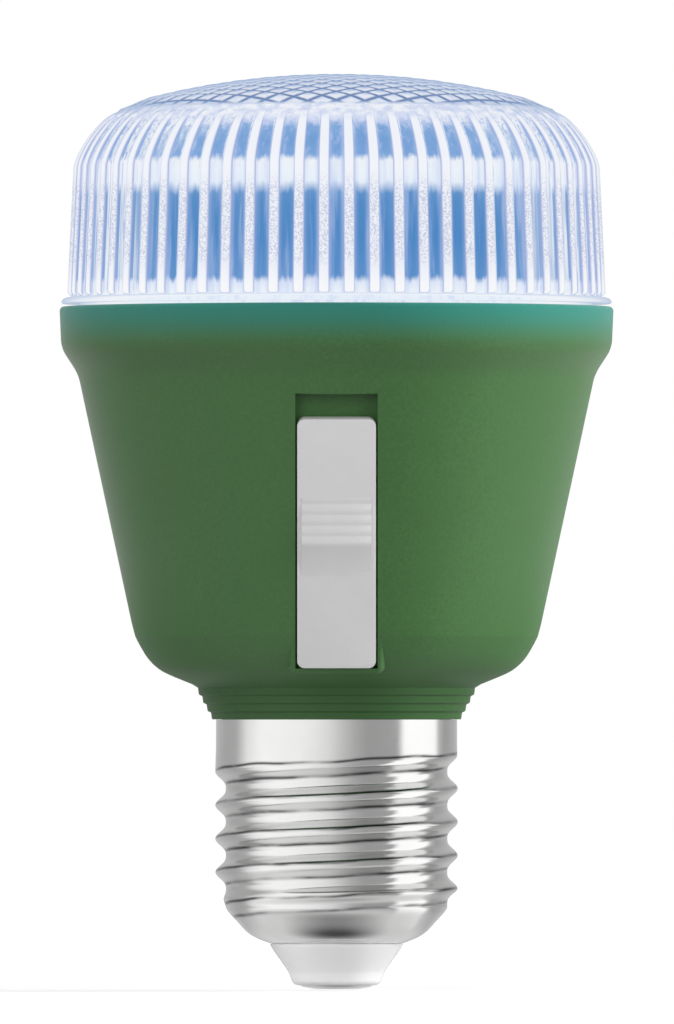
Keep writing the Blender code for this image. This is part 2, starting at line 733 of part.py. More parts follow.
def slot_tools():
    """Tray, boss, posts and pocket of the slider's slot, in the housing's frame."""
    half = SLOT_WIDTH / 2
    lip = SLOT_WALL - BOSS_DRAFT
    tray = frustum(
        (half + lip, SLOT_LOW - lip, SLOT_HIGH + lip, BOSS_DEPTH),
        (half + SLOT_WALL, SLOT_LOW - SLOT_WALL, SLOT_HIGH + SLOT_WALL, FLOOR_BACK),
    )
    tools = [("UNION", tilt_mesh(tray))]
    for side in (-1, 1):
        post = cylinder(
            POST_R,
            FLOOR_BACK - 0.5 * SLOT_FLOOR,
            SWITCH_BOARD_FRONT - SEAT,
            (0.0, SLIDER_MID + side * POST_SPREAD),
            axis="Y",
            segments=12,
        )
        tools.append(("UNION", tilt_mesh(post)))
    pocket = box((-half, -6.0, SLOT_LOW), (half, FLOOR_FRONT, SLOT_HIGH))
    tools.append(("DIFFERENCE", tilt_mesh(pocket)))
    stem_half = STEM_SIZE / 2 + SEAT
    opening = box(
        (-stem_half, FLOOR_FRONT - 0.5, SLIDER_MID - stem_half),
        (stem_half, FLOOR_BACK + 0.5, SLIDER_MID + stem_half + SLIDER_TRAVEL),
    )
    tools.append(("DIFFERENCE", tilt_mesh(opening)))
    for side in (-1, 1):
        bore = cylinder(
            POST_SCREW_R + SEAT,
            FLOOR_BACK + SEAT,
            SWITCH_BOARD_FRONT,
            (0.0, SLIDER_MID + side * POST_SPREAD),
            axis="Y",
            segments=12,
        )
        tools.append(("DIFFERENCE", tilt_mesh(bore)))
    return tools


def screw_places():
    places = []
    for degrees in BOARD_SCREW_ANGLES:
        angle = math.radians(degrees)
        places.append((BOARD_SCREW_CIRCLE_R * math.cos(angle), BOARD_SCREW_CIRCLE_R * math.sin(angle)))
    return places


def make_housing(material):
    tools = []
    for side in (-1, 1):
        faces = (
            (DRIVER_Y - SEAT - GUIDE_THICK, DRIVER_Y - SEAT),
            (DRIVER_Y + DRIVER_THICK + SEAT, DRIVER_Y + DRIVER_THICK + SEAT + GUIDE_THICK),
        )
        for low, high in faces:
            tools.append(("UNION", prism(guide_outline(side), low, high, "Y")))
    boss_top = BOARD_LEDGE_Z - 0.5 * BOARD_LEDGE_THICK
    bore_low = boss_top - BOARD_SCREW_LENGTH - SEAT
    for place in screw_places():
        boss = cylinder(SCREW_BOSS_R, bore_low - SCREW_BOSS_FLOOR, boss_top, place, segments=14)
        tools.append(("UNION", boss))
    tools += slot_tools()
    for place in screw_places():
        bore = cylinder(BOARD_SCREW_R + SEAT, bore_low, BOARD_LEDGE_Z + 1.0, place, segments=14)
        tools.append(("DIFFERENCE", bore))
    bm = combine(lathe(housing_profile(), HOUSING_SEGMENTS), tools)
    return finish("housing", bm, material)


# Lens


def rib_ring(bm, crest_r, height, rib_height):
    """One level of the fluted wall: each rib has two foot points and a crest."""
    ring = []
    pitch = 2 * math.pi / RIB_COUNT
    half = 0.5 * RIB_WIDTH_SHARE * pitch
    for index in range(RIB_COUNT):
        centre = -math.pi / 2 + (index + 0.5) * pitch
        for angle, radius in (
            (centre - half, crest_r - rib_height),
            (centre, crest_r),
            (centre + half, crest_r - rib_height),
        ):
            ring.append(bm.verts.new((radius * math.cos(angle), radius * math.sin(angle), height)))
    return ring


def rib_base_ring(bm, radius, height):
    """A smooth ring with one point for each rib, at the rib's first foot point."""
    ring = []
    pitch = 2 * math.pi / RIB_COUNT
    half = 0.5 * RIB_WIDTH_SHARE * pitch
    for index in range(RIB_COUNT):
        angle = -math.pi / 2 + (index + 0.5) * pitch - half
        ring.append(bm.verts.new((radius * math.cos(angle), radius * math.sin(angle), height)))
    return ring


def shoulder_point(share):
    """Point on the rounded shoulder, from the wall (0) to the crown's edge (1)."""
    angle = share * math.radians(74)
    reach_r = (LENS_SHOULDER_R - LENS_CROWN_R) / (1 - math.cos(math.radians(74)))
    reach_z = (LENS_CROWN_Z - LENS_SHOULDER_Z) / math.sin(math.radians(74))
    radius = LENS_SHOULDER_R - reach_r * (1 - math.cos(angle))
    return radius, LENS_SHOULDER_Z + reach_z * math.sin(angle)


def dome_height(radius, rim_r, rim_z, top_z):
    """Height of the shallow ball shape over the crown at a radius."""
    rise = top_z - rim_z
    ball = (rim_r * rim_r + rise * rise) / (2 * rise)
    return top_z - ball + math.sqrt(ball * ball - radius * radius)


def crown_faces(bm, ring):
    """Fills the crown's ring with raised diamond cells."""
    rim = [(vert.co.x, vert.co.y) for vert in ring]
    points = [Vector(place) for place in rim]
    edges = [(index, (index + 1) % len(rim)) for index in range(len(rim))]
    half_x = CELL_WIDTH / 2
    half_y = CELL_DEPTH / 2
    keep_r = LENS_CROWN_R - 0.28 * CELL_WIDTH
    across = int(LENS_CROWN_R / half_x) + 1
    along = int(LENS_CROWN_R / half_y) + 1
    corner = {}
    heights = {}
    for column in range(-across, across + 1):
        for row in range(-along, along + 1):
            place = Vector((column * half_x, row * half_y))
            if place.length > keep_r:
                continue
            raised = (column + row) % 2 == 0
            heights[len(points)] = CELL_RISE if raised else 0.0
            if not raised:
                corner[(column, row)] = len(points)
            points.append(place)
    for (column, row), index in corner.items():
        for step in (-1, 1):
            other = corner.get((column + 1, row + step))
            if other is not None:
                edges.append((index, other))
    places, _, faces, origins, _, _ = delaunay_2d_cdt(points, edges, [], 1, 1e-5)
    verts = []
    for place, origin in zip(places, origins):
        known = [index for index in origin if index < len(ring)]
        if known:
            verts.append(ring[known[0]])
            continue
        height = dome_height(place.length, LENS_CROWN_R, LENS_CROWN_Z, LENS_TOP - CELL_RISE)
        height += heights.get(origin[0], 0.0) if origin else 0.0
        verts.append(bm.verts.new((place.x, place.y, height)))
    for face in faces:
        bm.faces.new([verts[index] for index in face])
    valleys = set()
    for vert, origin in zip(verts, origins):
        if origin and heights.get(origin[0]) == 0.0:
            valleys.add(vert)
    for edge in bm.edges:
        edge.seam = edge.verts[0] in valleys and edge.verts[1] in valleys


def make_lens(material):
    bm = bmesh.new()
    flange_top = LENS_BOTTOM + LENS_FLANGE_THICK
    skirt_low = LENS_BOTTOM - LENS_SKIRT_DROP
    skirt_inner = LENS_SKIRT_R - LENS_SKIRT_WALL
    foot_rings = [
        rib_base_ring(bm, skirt_inner, skirt_low),
        rib_base_ring(bm, LENS_SKIRT_R, skirt_low),
        rib_base_ring(bm, LENS_SKIRT_R, LENS_BOTTOM),
        rib_base_ring(bm, LENS_FLANGE_R - 0.15, LENS_BOTTOM),
        rib_base_ring(bm, LENS_FLANGE_R, LENS_BOTTOM + 0.2),
        rib_base_ring(bm, LENS_FLANGE_R - 0.2, LENS_BOTTOM + 0.5),
    ]
    rib_rings = [rib_ring(bm, LENS_FOOT_R - RIB_HEIGHT + 0.05, flange_top, 0.0)]
    rib_rings.append(rib_ring(bm, LENS_FOOT_R - 0.02, flange_top + 0.4, RIB_HEIGHT))
    for share in (0.0, 0.22, 0.42, 0.62, 0.8):
        radius, height = shoulder_point(share)
        rib_rings.append(rib_ring(bm, radius, height, RIB_HEIGHT * (1.0 - 0.4 * share)))
    radius, height = shoulder_point(0.93)
    rib_rings.append(rib_ring(bm, radius - 0.1, height - 0.1, 0.0))
    crown_ring = []
    for index in range(2 * RIB_COUNT):
        angle = -math.pi / 2 + index * math.pi / RIB_COUNT
        crown_ring.append(
            bm.verts.new((LENS_CROWN_R * math.cos(angle), LENS_CROWN_R * math.sin(angle), LENS_CROWN_Z))
        )
    wall_rings = []
    for share in (0.0, 0.35, 0.7, 1.0):
        radius, height = shoulder_point(share)
        inset = LENS_WALL + RIB_HEIGHT * (1.0 - share)
        wall_rings.append(rib_base_ring(bm, radius - inset, height - inset * share))
    inner_top = LENS_TOP - CELL_RISE - LENS_WALL
    inner_rim = LENS_CROWN_R - LENS_WALL
    for share in (0.7, 0.35):
        radius = inner_rim * share
        level = dome_height(radius, inner_rim, LENS_CROWN_Z - LENS_WALL, inner_top)
        wall_rings.append(rib_base_ring(bm, radius, level))
    wall_rings.append([bm.verts.new((0.0, 0.0, inner_top))])
    for low, high in zip(foot_rings, foot_rings[1:]):
        join_rings(bm, low, high)
    join_rings(bm, foot_rings[-1], rib_rings[0])
    for low, high in zip(rib_rings, rib_rings[1:]):
        join_rings(bm, low, high)
    bridge_crown(bm, rib_rings[-1], crown_ring)
    crown_faces(bm, crown_ring)
    join_rings(bm, foot_rings[0], wall_rings[0])
    for low, high in zip(wall_rings, wall_rings[1:]):
        join_rings(bm, low, high)
    return finish("lens_cover", bm, material)


def bridge_crown(bm, outer, inner):
    """Joins two rings with different numbers of points by their angles."""
    def turn(vert):
        return math.atan2(vert.co.x, -vert.co.y) % (2 * math.pi)

    outer = sorted(outer, key=turn)
    inner = sorted(inner, key=turn)
    total = len(outer) + len(inner)
    first = 0
    second = 0
    while first + second < total:
        a = outer[first % len(outer)]
        b = inner[second % len(inner)]
        next_a = outer[(first + 1) % len(outer)]
        next_b = inner[(second + 1) % len(inner)]
        angle_a = turn(next_a) + (2 * math.pi if first + 1 >= len(outer) else 0.0)
        angle_b = turn(next_b) + (2 * math.pi if second + 1 >= len(inner) else 0.0)
        if second >= len(inner) or (first < len(outer) and angle_a <= angle_b):
            bm.faces.new((a, next_a, b))
            first += 1
        else:
            bm.faces.new((a, next_b, b))
            second += 1


def make_gasket(material):
    low = LENS_LEDGE_Z + SEAT
    mid = (LEDGE_OUTER_R + RIM_BORE_R) / 2
    profile = [
        (mid - GASKET_WIDTH / 2, low),
        (mid + GASKET_WIDTH / 2, low),
        (mid + GASKET_WIDTH / 2, low + GASKET_THICK),
        (mid - GASKET_WIDTH / 2, low + GASKET_THICK),
    ]
    return finish("lens_gasket", lathe(profile, 30), material)


# Slider


def rounded_outline(half_width, low, high, radius, steps=3):
    points = []
    corners = (
        (half_width - radius, low + radius, -90),
        (half_width - radius, high - radius, 0),
        (-half_width + radius, high - radius, 90),
        (-half_width + radius, low + radius, 180),
    )
    for x, z, start in corners:
        for step in range(steps + 1):
            angle = math.radians(start + 90 * step / steps)
            points.append((x + radius * math.cos(angle), z + radius * math.sin(angle)))
    return points


def ramp_outline():
    """Side view of the finger ramp as (depth, length) points, with its grip grooves."""
    face = SLIDER_DEPTH
    top = SLIDER_LOW + RAMP_TOP_RISE
    peak = SLIDER_LOW + RAMP_PEAK_RISE
    foot = SLIDER_LOW + RAMP_FOOT_RISE
    slope = RAMP_HEIGHT / (top - peak)
    points = [(face + 0.5, foot), (face, foot), (face - 0.6 * RAMP_HEIGHT, peak - 0.9)]
    points.append((face - RAMP_HEIGHT, peak))
    start = peak + (top - peak - (GRIP_GROOVES - 1) * GRIP_PITCH) / 2
    for index in range(GRIP_GROOVES):
        middle = start + index * GRIP_PITCH
        for shift, cut in ((-0.25, 0.0), (0.0, GRIP_DEPTH), (0.25, 0.0)):
            length = middle + shift
            rise = RAMP_HEIGHT - slope * (length - peak)
            points.append((face - rise + cut, length))
    points += [(face - 0.1, top), (face, top), (face + 0.5, top)]
    return points


def make_slider(material):
    """Slider plate with its finger ramp and the stem that moves the switch."""
    outline = rounded_outline(
        SLIDER_WIDTH / 2,
        SLIDER_LOW,
        SLIDER_LOW + SLIDER_LENGTH,
        SLIDER_CORNER_R,
    )
    plate = prism(outline, SLIDER_DEPTH, SLIDER_BACK, "Y")
    ramp = prism(ramp_outline(), -RAMP_WIDTH / 2, RAMP_WIDTH / 2, "X")
    half = STEM_SIZE / 2
    stem = box(
        (-half, SLIDER_BACK - 0.5, SLIDER_MID - half),
        (half, STEM_END, SLIDER_MID + half),
    )
    inner = KNOB_SIZE / 2 + SEAT
    socket = box(
        (-inner, STEM_END - KNOB_SOCKET_DEPTH, SLIDER_MID - inner),
        (inner, STEM_END + 1.0, SLIDER_MID + inner),
    )
    bm = combine(plate, [("UNION", ramp), ("UNION", stem), ("DIFFERENCE", socket)])
    return finish("mode_slider", bm, material, origin=(0.0, 0.0, SLIDER_MID), tilt=CONE_ANGLE)


def make_clip(material):
    """Spring plate that holds the slider behind the slot's floor."""
    low = FLOOR_BACK + SEAT
    plate = box(
        (-CLIP_WIDTH / 2, low, SLIDER_MID - CLIP_LENGTH / 2),
        (CLIP_WIDTH / 2, low + CLIP_THICK, SLIDER_MID + CLIP_LENGTH / 2),
    )
    half = STEM_SIZE / 2 + SEAT
    hole = box(
        (-half, low - 1.0, SLIDER_MID - half),
        (half, low + CLIP_THICK + 1.0, SLIDER_MID + half),
    )
    bm = combine(plate, [("DIFFERENCE", hole)])
    return finish(
        "slider_clip", bm, material, smooth=False, origin=(0.0, 0.0, SLIDER_MID), tilt=CONE_ANGLE
    )


# Slide switch


def make_knob(material):
    """Switch knob: a peg in the stem's socket and a wider foot inside the case."""
    half = KNOB_SIZE / 2
    foot = KNOB_FOOT_SIZE / 2
    inside = SWITCH_FRONT + SWITCH_SHEET + SEAT
    peg = box((-half, KNOB_TOP, SLIDER_MID - half), (half, inside + 0.5, SLIDER_MID + half))
    base = box((-foot, inside, SLIDER_MID - foot), (foot, inside + 1.2, SLIDER_MID + foot))
    bm = combine(peg, [("UNION", base)])
    return finish(
        "switch_knob", bm, material, smooth=False, origin=(0.0, 0.0, SLIDER_MID), tilt=CONE_ANGLE
    )


def make_wiper(material):
    """Contact bridge under the knob."""
    front = SWITCH_FRONT + SWITCH_SHEET + SEAT + 1.2 + SEAT
    half = KNOB_FOOT_SIZE / 2
    bm = box((-half * 0.6, front, SLIDER_MID - half), (half * 0.6, front + 0.3, SLIDER_MID + half))
    return finish(
        "switch_wiper", bm, material, smooth=False, origin=(0.0, 0.0, SLIDER_MID), tilt=CONE_ANGLE
    )


def switch_middle():
    """The switch is centred on the middle of the slider's travel."""
    return SLIDER_MID + SLIDER_TRAVEL / 2


def make_case(material):
    """Folded sheet case of the switch, open at its back, with the knob's window."""
    middle = switch_middle()
    outer = box(
        (-SWITCH_WIDTH / 2, SWITCH_FRONT, middle - SWITCH_LENGTH / 2),
        (SWITCH_WIDTH / 2, SWITCH_BACK, middle + SWITCH_LENGTH / 2),
    )
    room_x = SWITCH_WIDTH / 2 - SWITCH_SHEET
    room_z = SWITCH_LENGTH / 2 - SWITCH_SHEET
    room = box(
        (-room_x, SWITCH_FRONT + SWITCH_SHEET, middle - room_z),
        (room_x, SWITCH_BACK + 1.0, middle + room_z),
    )
    half = KNOB_SIZE / 2 + SEAT
    window = box(
        (-half, SWITCH_FRONT - 1.0, SLIDER_MID - half),
        (half, SWITCH_FRONT + 1.0, SLIDER_MID + half + SLIDER_TRAVEL),
    )
    bm = combine(outer, [("DIFFERENCE", room), ("DIFFERENCE", window)])
    return finish("switch_case", bm, material, smooth=False, tilt=CONE_ANGLE)


def pin_places():
    middle = switch_middle()
    return [middle + step * SWITCH_PIN_PITCH for step in (-1, 0, 1)]


def make_base(material):
    """Insulating base plate of the switch, with a hole for each pin."""
    middle = switch_middle()
    low = SWITCH_BACK + SEAT
    plate = box(
        (-SWITCH_WIDTH / 2, low, middle - SWITCH_LENGTH / 2),
        (SWITCH_WIDTH / 2, low + SWITCH_BASE_THICK - SEAT, middle + SWITCH_LENGTH / 2),
    )
    tools = []
    half = SWITCH_PIN_SIZE / 2 + SEAT
    for place in pin_places():
        hole = box((-half, low - 1.0, place - half), (half, low + SWITCH_BASE_THICK + 1.0, place + half))
        tools.append(("DIFFERENCE", hole))
    return finish("switch_base", combine(plate, tools), material, smooth=False, tilt=CONE_ANGLE)


def make_pins(material):
    half = SWITCH_PIN_SIZE / 2
    low = SWITCH_BACK - 0.8
    high = SWITCH_BOARD_BACK + SWITCH_PIN_TAIL
    for number, place in enumerate(pin_places()):
        bm = box((-half, low, place - half), (half, high, place + half))
        finish(f"switch_pin_{number + 1}", bm, material, smooth=False, tilt=CONE_ANGLE)


def make_switch_board(material):
    half = SWITCH_BOARD_WIDTH / 2
    plate = box(
        (-half, SWITCH_BOARD_FRONT, SLIDER_MID - SWITCH_BOARD_LENGTH / 2),
        (half, SWITCH_BOARD_BACK, SLIDER_MID + SWITCH_BOARD_LENGTH / 2),
    )
    tools = []
    hole_half = SWITCH_PIN_SIZE / 2 + SEAT
    for place in pin_places():
        hole = box(
            (-hole_half, SWITCH_BOARD_FRONT - 1.0, place - hole_half),
            (hole_half, SWITCH_BOARD_BACK + 1.0, place + hole_half),
        )
        tools.append(("DIFFERENCE", hole))
    for side in (-1, 1):
        bore = cylinder(
            POST_SCREW_R + SEAT,
            SWITCH_BOARD_FRONT - 1.0,
            SWITCH_BOARD_BACK + 1.0,
            (0.0, SLIDER_MID + side * POST_SPREAD),
            axis="Y",
            segments=12,
        )
        tools.append(("DIFFERENCE", bore))
    return finish("switch_board", combine(plate, tools), material, smooth=False, tilt=CONE_ANGLE)


def make_post_screws(material):
    for number, side in enumerate((-1, 1)):
        centre = (0.0, SLIDER_MID + side * POST_SPREAD)
        shank = cylinder(POST_SCREW_R, FLOOR_BACK + 2 * SEAT, SWITCH_BOARD_BACK + 0.6, centre, "Y", 10)
        head = cylinder(
            2 * POST_SCREW_R,
            SWITCH_BOARD_BACK + SEAT,
            SWITCH_BOARD_BACK + SEAT + POST_SCREW_R,
            centre,
            "Y",
            12,
        )
        bm = combine(head, [("UNION", shank)])
        finish(f"switch_screw_{number + 1}", bm, material, tilt=CONE_ANGLE)


# LED board, heat spreader and screws


def make_spreader(material):
    high = SPREADER_LOW + SPREADER_THICK
    skirt_r = min(LEDGE_INNER_R, BOARD_SCREW_CIRCLE_R - SCREW_BOSS_R) - SEAT
    profile = [
        (WIRE_HOLE_R, SPREADER_LOW),
        (skirt_r - SPREADER_THICK, SPREADER_LOW),
        (skirt_r - SPREADER_THICK, SPREADER_SKIRT_LOW),
        (skirt_r, SPREADER_SKIRT_LOW),
        (skirt_r, SPREADER_LOW),
        (LED_BOARD_R, SPREADER_LOW),
        (LED_BOARD_R, high),
        (WIRE_HOLE_R, high),
    ]
    tools = []
    for place in screw_places():
        hole = cylinder(BOARD_SCREW_R + SEAT, SPREADER_LOW - 1.0, high + 1.0, place, segments=14)
        tools.append(("DIFFERENCE", hole))
    return finish("heat_spreader", combine(lathe(profile, 30), tools), material)


def make_led_board(material):
    profile = [
        (WIRE_HOLE_R, LED_BOARD_LOW),
        (LED_BOARD_R, LED_BOARD_LOW),
        (LED_BOARD_R, LED_BOARD_TOP),
        (WIRE_HOLE_R, LED_BOARD_TOP),
    ]
    tools = []
    for place in screw_places():
        hole = cylinder(BOARD_SCREW_R + SEAT, LED_BOARD_LOW - 1.0, LED_BOARD_TOP + 1.0, place, segments=14)
        tools.append(("DIFFERENCE", hole))
    return finish("led_board", combine(lathe(profile, 30), tools), material)


def make_leds(blue, red):
    """Square LED packages in rings; every fifth one glows red."""
    number = 0
    for radius, count in ((LED_INNER_RING_R, LED_INNER_COUNT), (LED_OUTER_RING_R, LED_OUTER_COUNT)):
        for index in range(count):
            number += 1
            angle = 2 * math.pi * (index + 0.5) / count
            low = LED_BOARD_TOP + SEAT
            half = LED_SIZE / 2
            bm = box((-half, -half, low), (half, half, low + LED_THICK))
            bmesh.ops.translate(bm, verts=bm.verts, vec=(radius, 0.0, 0.0))
            bmesh.ops.rotate(bm, verts=bm.verts, matrix=Matrix.Rotation(angle, 3, "Z"))
            material = red if number % 5 == 0 else blue
            finish(f"led_{number:02d}", bm, material, smooth=False)


def make_board_screws(material):
    for number, place in enumerate(screw_places()):
        low = BOARD_LEDGE_Z - 0.5 * BOARD_LEDGE_THICK - BOARD_SCREW_LENGTH
        head_low = LED_BOARD_TOP + SEAT
        head = cylinder(BOARD_SCREW_HEAD_R, head_low, head_low + BOARD_SCREW_HEAD_THICK, place, segments=14)
        shank = cylinder(BOARD_SCREW_R, low, head_low + 0.5 * BOARD_SCREW_HEAD_THICK, place, segments=10)
        finish(f"board_screw_{number + 1}", combine(head, [("UNION", shank)]), material)


# Driver


def make_driver_board(material):
    outline = [
        (-TONGUE_HALF_WIDTH, TONGUE_LOW_Z),
        (TONGUE_HALF_WIDTH, TONGUE_LOW_Z),
        (TONGUE_HALF_WIDTH, DRIVER_LOW_Z),
        (DRIVER_HALF_WIDTH, DRIVER_LOW_Z),
        (DRIVER_HALF_WIDTH, DRIVER_TOP_Z),
        (-DRIVER_HALF_WIDTH, DRIVER_TOP_Z),
        (-DRIVER_HALF_WIDTH, DRIVER_LOW_Z),
        (-TONGUE_HALF_WIDTH, DRIVER_LOW_Z),
    ]
    bm = prism(outline, DRIVER_Y, DRIVER_Y + DRIVER_THICK, "Y")
    return finish("driver_board", bm, material, smooth=False)


def board_box(name, x, z, width, height, depth, material):
    """A block that stands on the front face of the driver board."""
    face = DRIVER_Y - SEAT
    bm = box((x - width / 2, face - depth, z - height / 2), (x + width / 2, face, z + height / 2))
    return finish(name, bm, material, smooth=False)


def make_driver_parts(materials):
    face = DRIVER_Y - SEAT
    upper = (DRIVER_LOW_Z + DRIVER_TOP_Z) / 2
    tongue = (TONGUE_LOW_Z + DRIVER_LOW_Z) / 2
    side = DRIVER_HALF_WIDTH - DRIVER_PART_INSET
    bm = cylinder(CAPACITOR_R, CAPACITOR_END_Y, face, (-side, upper), "Y", 24)
    finish("electrolytic_capacitor", bm, materials["sleeve"])
    blocks = (
        ("film_capacitor", side, upper + FILM_RISE, FILM_WIDTH, FILM_HEIGHT, FILM_DEPTH, "film"),
        ("bridge_rectifier", side, upper - RECTIFIER_DROP, CHIP_WIDTH, CHIP_HEIGHT, RECTIFIER_DEPTH, "chip"),
        ("driver_chip", 0.0, upper - CHIP_DROP, CHIP_WIDTH, CHIP_HEIGHT, CHIP_DEPTH, "chip"),
    )
    for name, x, z, width, height, depth, material in blocks:
        board_box(name, x, z, width, height, depth, materials[material])
    far_flange = CHOKE_LENGTH - CHOKE_FLANGE
    bobbin = [
        (0.0, 0.0),
        (CHOKE_R, 0.0),
        (CHOKE_R, CHOKE_FLANGE),
        (CHOKE_CORE_R, CHOKE_FLANGE),
        (CHOKE_CORE_R, far_flange),
        (CHOKE_R, far_flange),
        (CHOKE_R, CHOKE_LENGTH),
        (0.0, CHOKE_LENGTH),
    ]
    coil = [
        (CHOKE_CORE_R + SEAT, CHOKE_FLANGE + SEAT),
        (CHOKE_R - SEAT, CHOKE_FLANGE + SEAT),
        (CHOKE_R - SEAT, far_flange - SEAT),
        (CHOKE_CORE_R + SEAT, far_flange - SEAT),
    ]
    for name, profile, material in (("choke_core", bobbin, "ferrite"), ("choke_coil", coil, "copper")):
        bm = lathe(profile, 20)
        bmesh.ops.rotate(bm, verts=bm.verts, matrix=Matrix.Rotation(math.pi / 2, 3, "X"))
        bmesh.ops.translate(bm, verts=bm.verts, vec=(0.0, face, tongue + CHOKE_RISE))
        finish(name, bm, materials[material])
    resistor_top = tongue - RESISTOR_DROP
    resistor_low = resistor_top - RESISTOR_LENGTH
    bm = cylinder(RESISTOR_R, resistor_low, resistor_top, (0.0, face - RESISTOR_R), segments=14)
    finish("fusible_resistor", bm, materials["resistor"])


def slot_place(x, depth, length):
    """A point of the slot's own frame in the bulb's frame."""
    turn = Matrix.Rotation(CONE_ANGLE, 3, "X")
    return Vector((0.0, -CONE_FOOT_R, 0.0)) + turn @ Vector((x, depth, length))


def make_wires(red, black):
    """Wires between the contact, the shell, the two boards and the switch."""
    face = DRIVER_Y - SEAT - WIRE_R
    stud_top = INSULATOR_HEAD_TOP + SEAT + STUD_HEAD_THICK
    start = stud_top + SEAT + WIRE_R
    path = [
        (-1.2, 0.0, start),
        (1.5, 0.3, start + 0.8),
        (4.0, 0.8 * face, start + 2.5),
        (4.0, face, TONGUE_LOW_Z + 4.0),
    ]
    finish("live_wire", tube(path, WIRE_R), red)
    shell_r = THREAD_ROOT_R - SHELL_WALL - SEAT - WIRE_R
    height = TONGUE_LOW_Z + 3.0
    path = [
        (-shell_r, 0.0, height - 2.5),
        (-shell_r + 0.2, 0.0, height),
        (-8.0, 0.6 * face, height + 1.5),
        (-5.5, face, height + 2.0),
    ]
    finish("neutral_wire", tube(path, WIRE_R), black)
    pad = LED_BOARD_TOP + SEAT + WIRE_R
    for name, side, material in (("led_wire_plus", 1, red), ("led_wire_minus", -1, black)):
        near = side * 0.4 * WIRE_HOLE_R
        path = [
            (side * 4.0, face, DRIVER_TOP_Z - 3.0),
            (side * 3.6, face - 0.6, DRIVER_TOP_Z + 1.0),
            (near, 0.0, SPREADER_LOW - 1.5),
            (near, 0.0, LED_BOARD_TOP - 0.3),
            (near + side * 0.5, 0.0, pad - 0.1),
            (side * 5.2, 0.0, pad),
        ]
        finish(name, tube(path, WIRE_R), material)
    back = SWITCH_BOARD_BACK + SEAT + WIRE_R
    for number, side in enumerate((-1, 1)):
        length = SLIDER_MID - 7.5
        first = slot_place(side * 3.0, back, length)
        second = slot_place(side * 4.5, back + 1.2, length - 3.5)
        third = Vector((side * 5.5, face, DRIVER_LOW_Z + 3.0))
        path = [first, second, (second + third) / 2 + Vector((0.0, 0.0, -1.5)), third]
        finish(f"switch_wire_{number + 1}", tube(path, WIRE_R), red if side > 0 else black)


def build():
    clear_scene()
    green = make_material("green_housing", (0.062, 0.160, 0.060), 0.55)
    nickel = make_material("nickel_shell", (0.78, 0.78, 0.77), 0.22, metallic=1.0)
    lens = make_material("clear_lens", (0.80, 0.90, 1.0), 0.08, transmission=0.9)
    grey = make_material("grey_slider", (0.56, 0.56, 0.56), 0.5)
    ceramic = make_material("pale_insulator", (0.62, 0.62, 0.63), 0.2)
    steel = make_material("contact_metal", (0.45, 0.45, 0.44), 0.35, metallic=1.0)
    rubber = make_material("seal_rubber", (0.70, 0.70, 0.70), 0.7)
    aluminium = make_material("spreader_metal", (0.72, 0.73, 0.74), 0.4, metallic=1.0)
    white = make_material("white_board", (0.85, 0.85, 0.85), 0.5)
    board = make_material("green_board", (0.02, 0.12, 0.05), 0.5)
    phenolic = make_material("switch_plate", (0.25, 0.13, 0.06), 0.6)
    black = make_material("black_plastic", (0.02, 0.02, 0.02), 0.5)
    brass = make_material("contact_brass", (0.70, 0.52, 0.25), 0.35, metallic=1.0)
    blue_led = make_material("blue_led", (0.20, 0.45, 1.0), 0.3, glow=(0.12, 0.35, 1.0))
    red_led = make_material("red_led", (1.0, 0.25, 0.25), 0.3, glow=(1.0, 0.10, 0.12))
    red_wire = make_material("red_wire", (0.55, 0.03, 0.03), 0.45)
    black_wire = make_material("black_wire", (0.03, 0.03, 0.03), 0.45)
    driver_materials = {
        "sleeve": make_material("capacitor_sleeve", (0.03, 0.05, 0.12), 0.35),
        "film": make_material("film_block", (0.50, 0.09, 0.05), 0.4),
        "chip": black,
        "ferrite": make_material("ferrite_core", (0.06, 0.06, 0.06), 0.7),
        "copper": make_material("copper_coil", (0.75, 0.33, 0.16), 0.3, metallic=1.0),
        "resistor": make_material("resistor_body", (0.10, 0.30, 0.34), 0.5),
    }
    make_screw_shell(nickel)
    make_insulator(ceramic)
    make_contact(steel)
    make_housing(green)
    make_lens(lens)
    make_gasket(rubber)
    slider = make_slider(grey)
    moving = (make_clip(steel), make_knob(black), make_wiper(brass))
    for piece in moving:
        piece.parent = slider
        piece.matrix_parent_inverse = slider.matrix_basis.inverted()
    make_case(steel)
    make_base(phenolic)
    make_pins(brass)
    make_switch_board(board)
    make_post_screws(steel)
    make_spreader(aluminium)
    make_led_board(white)
    make_leds(blue_led, red_led)
    make_board_screws(steel)
    make_driver_board(board)
    make_driver_parts(driver_materials)
    make_wires(red_wire, black_wire)


build()
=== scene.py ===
"""Looks of the LED grow light bulb: finer meshes, materials, studio light and camera."""

import json
import math

import bmesh
import bpy
from mathutils import Matrix, Vector
from mathutils.geometry import delaunay_2d_cdt

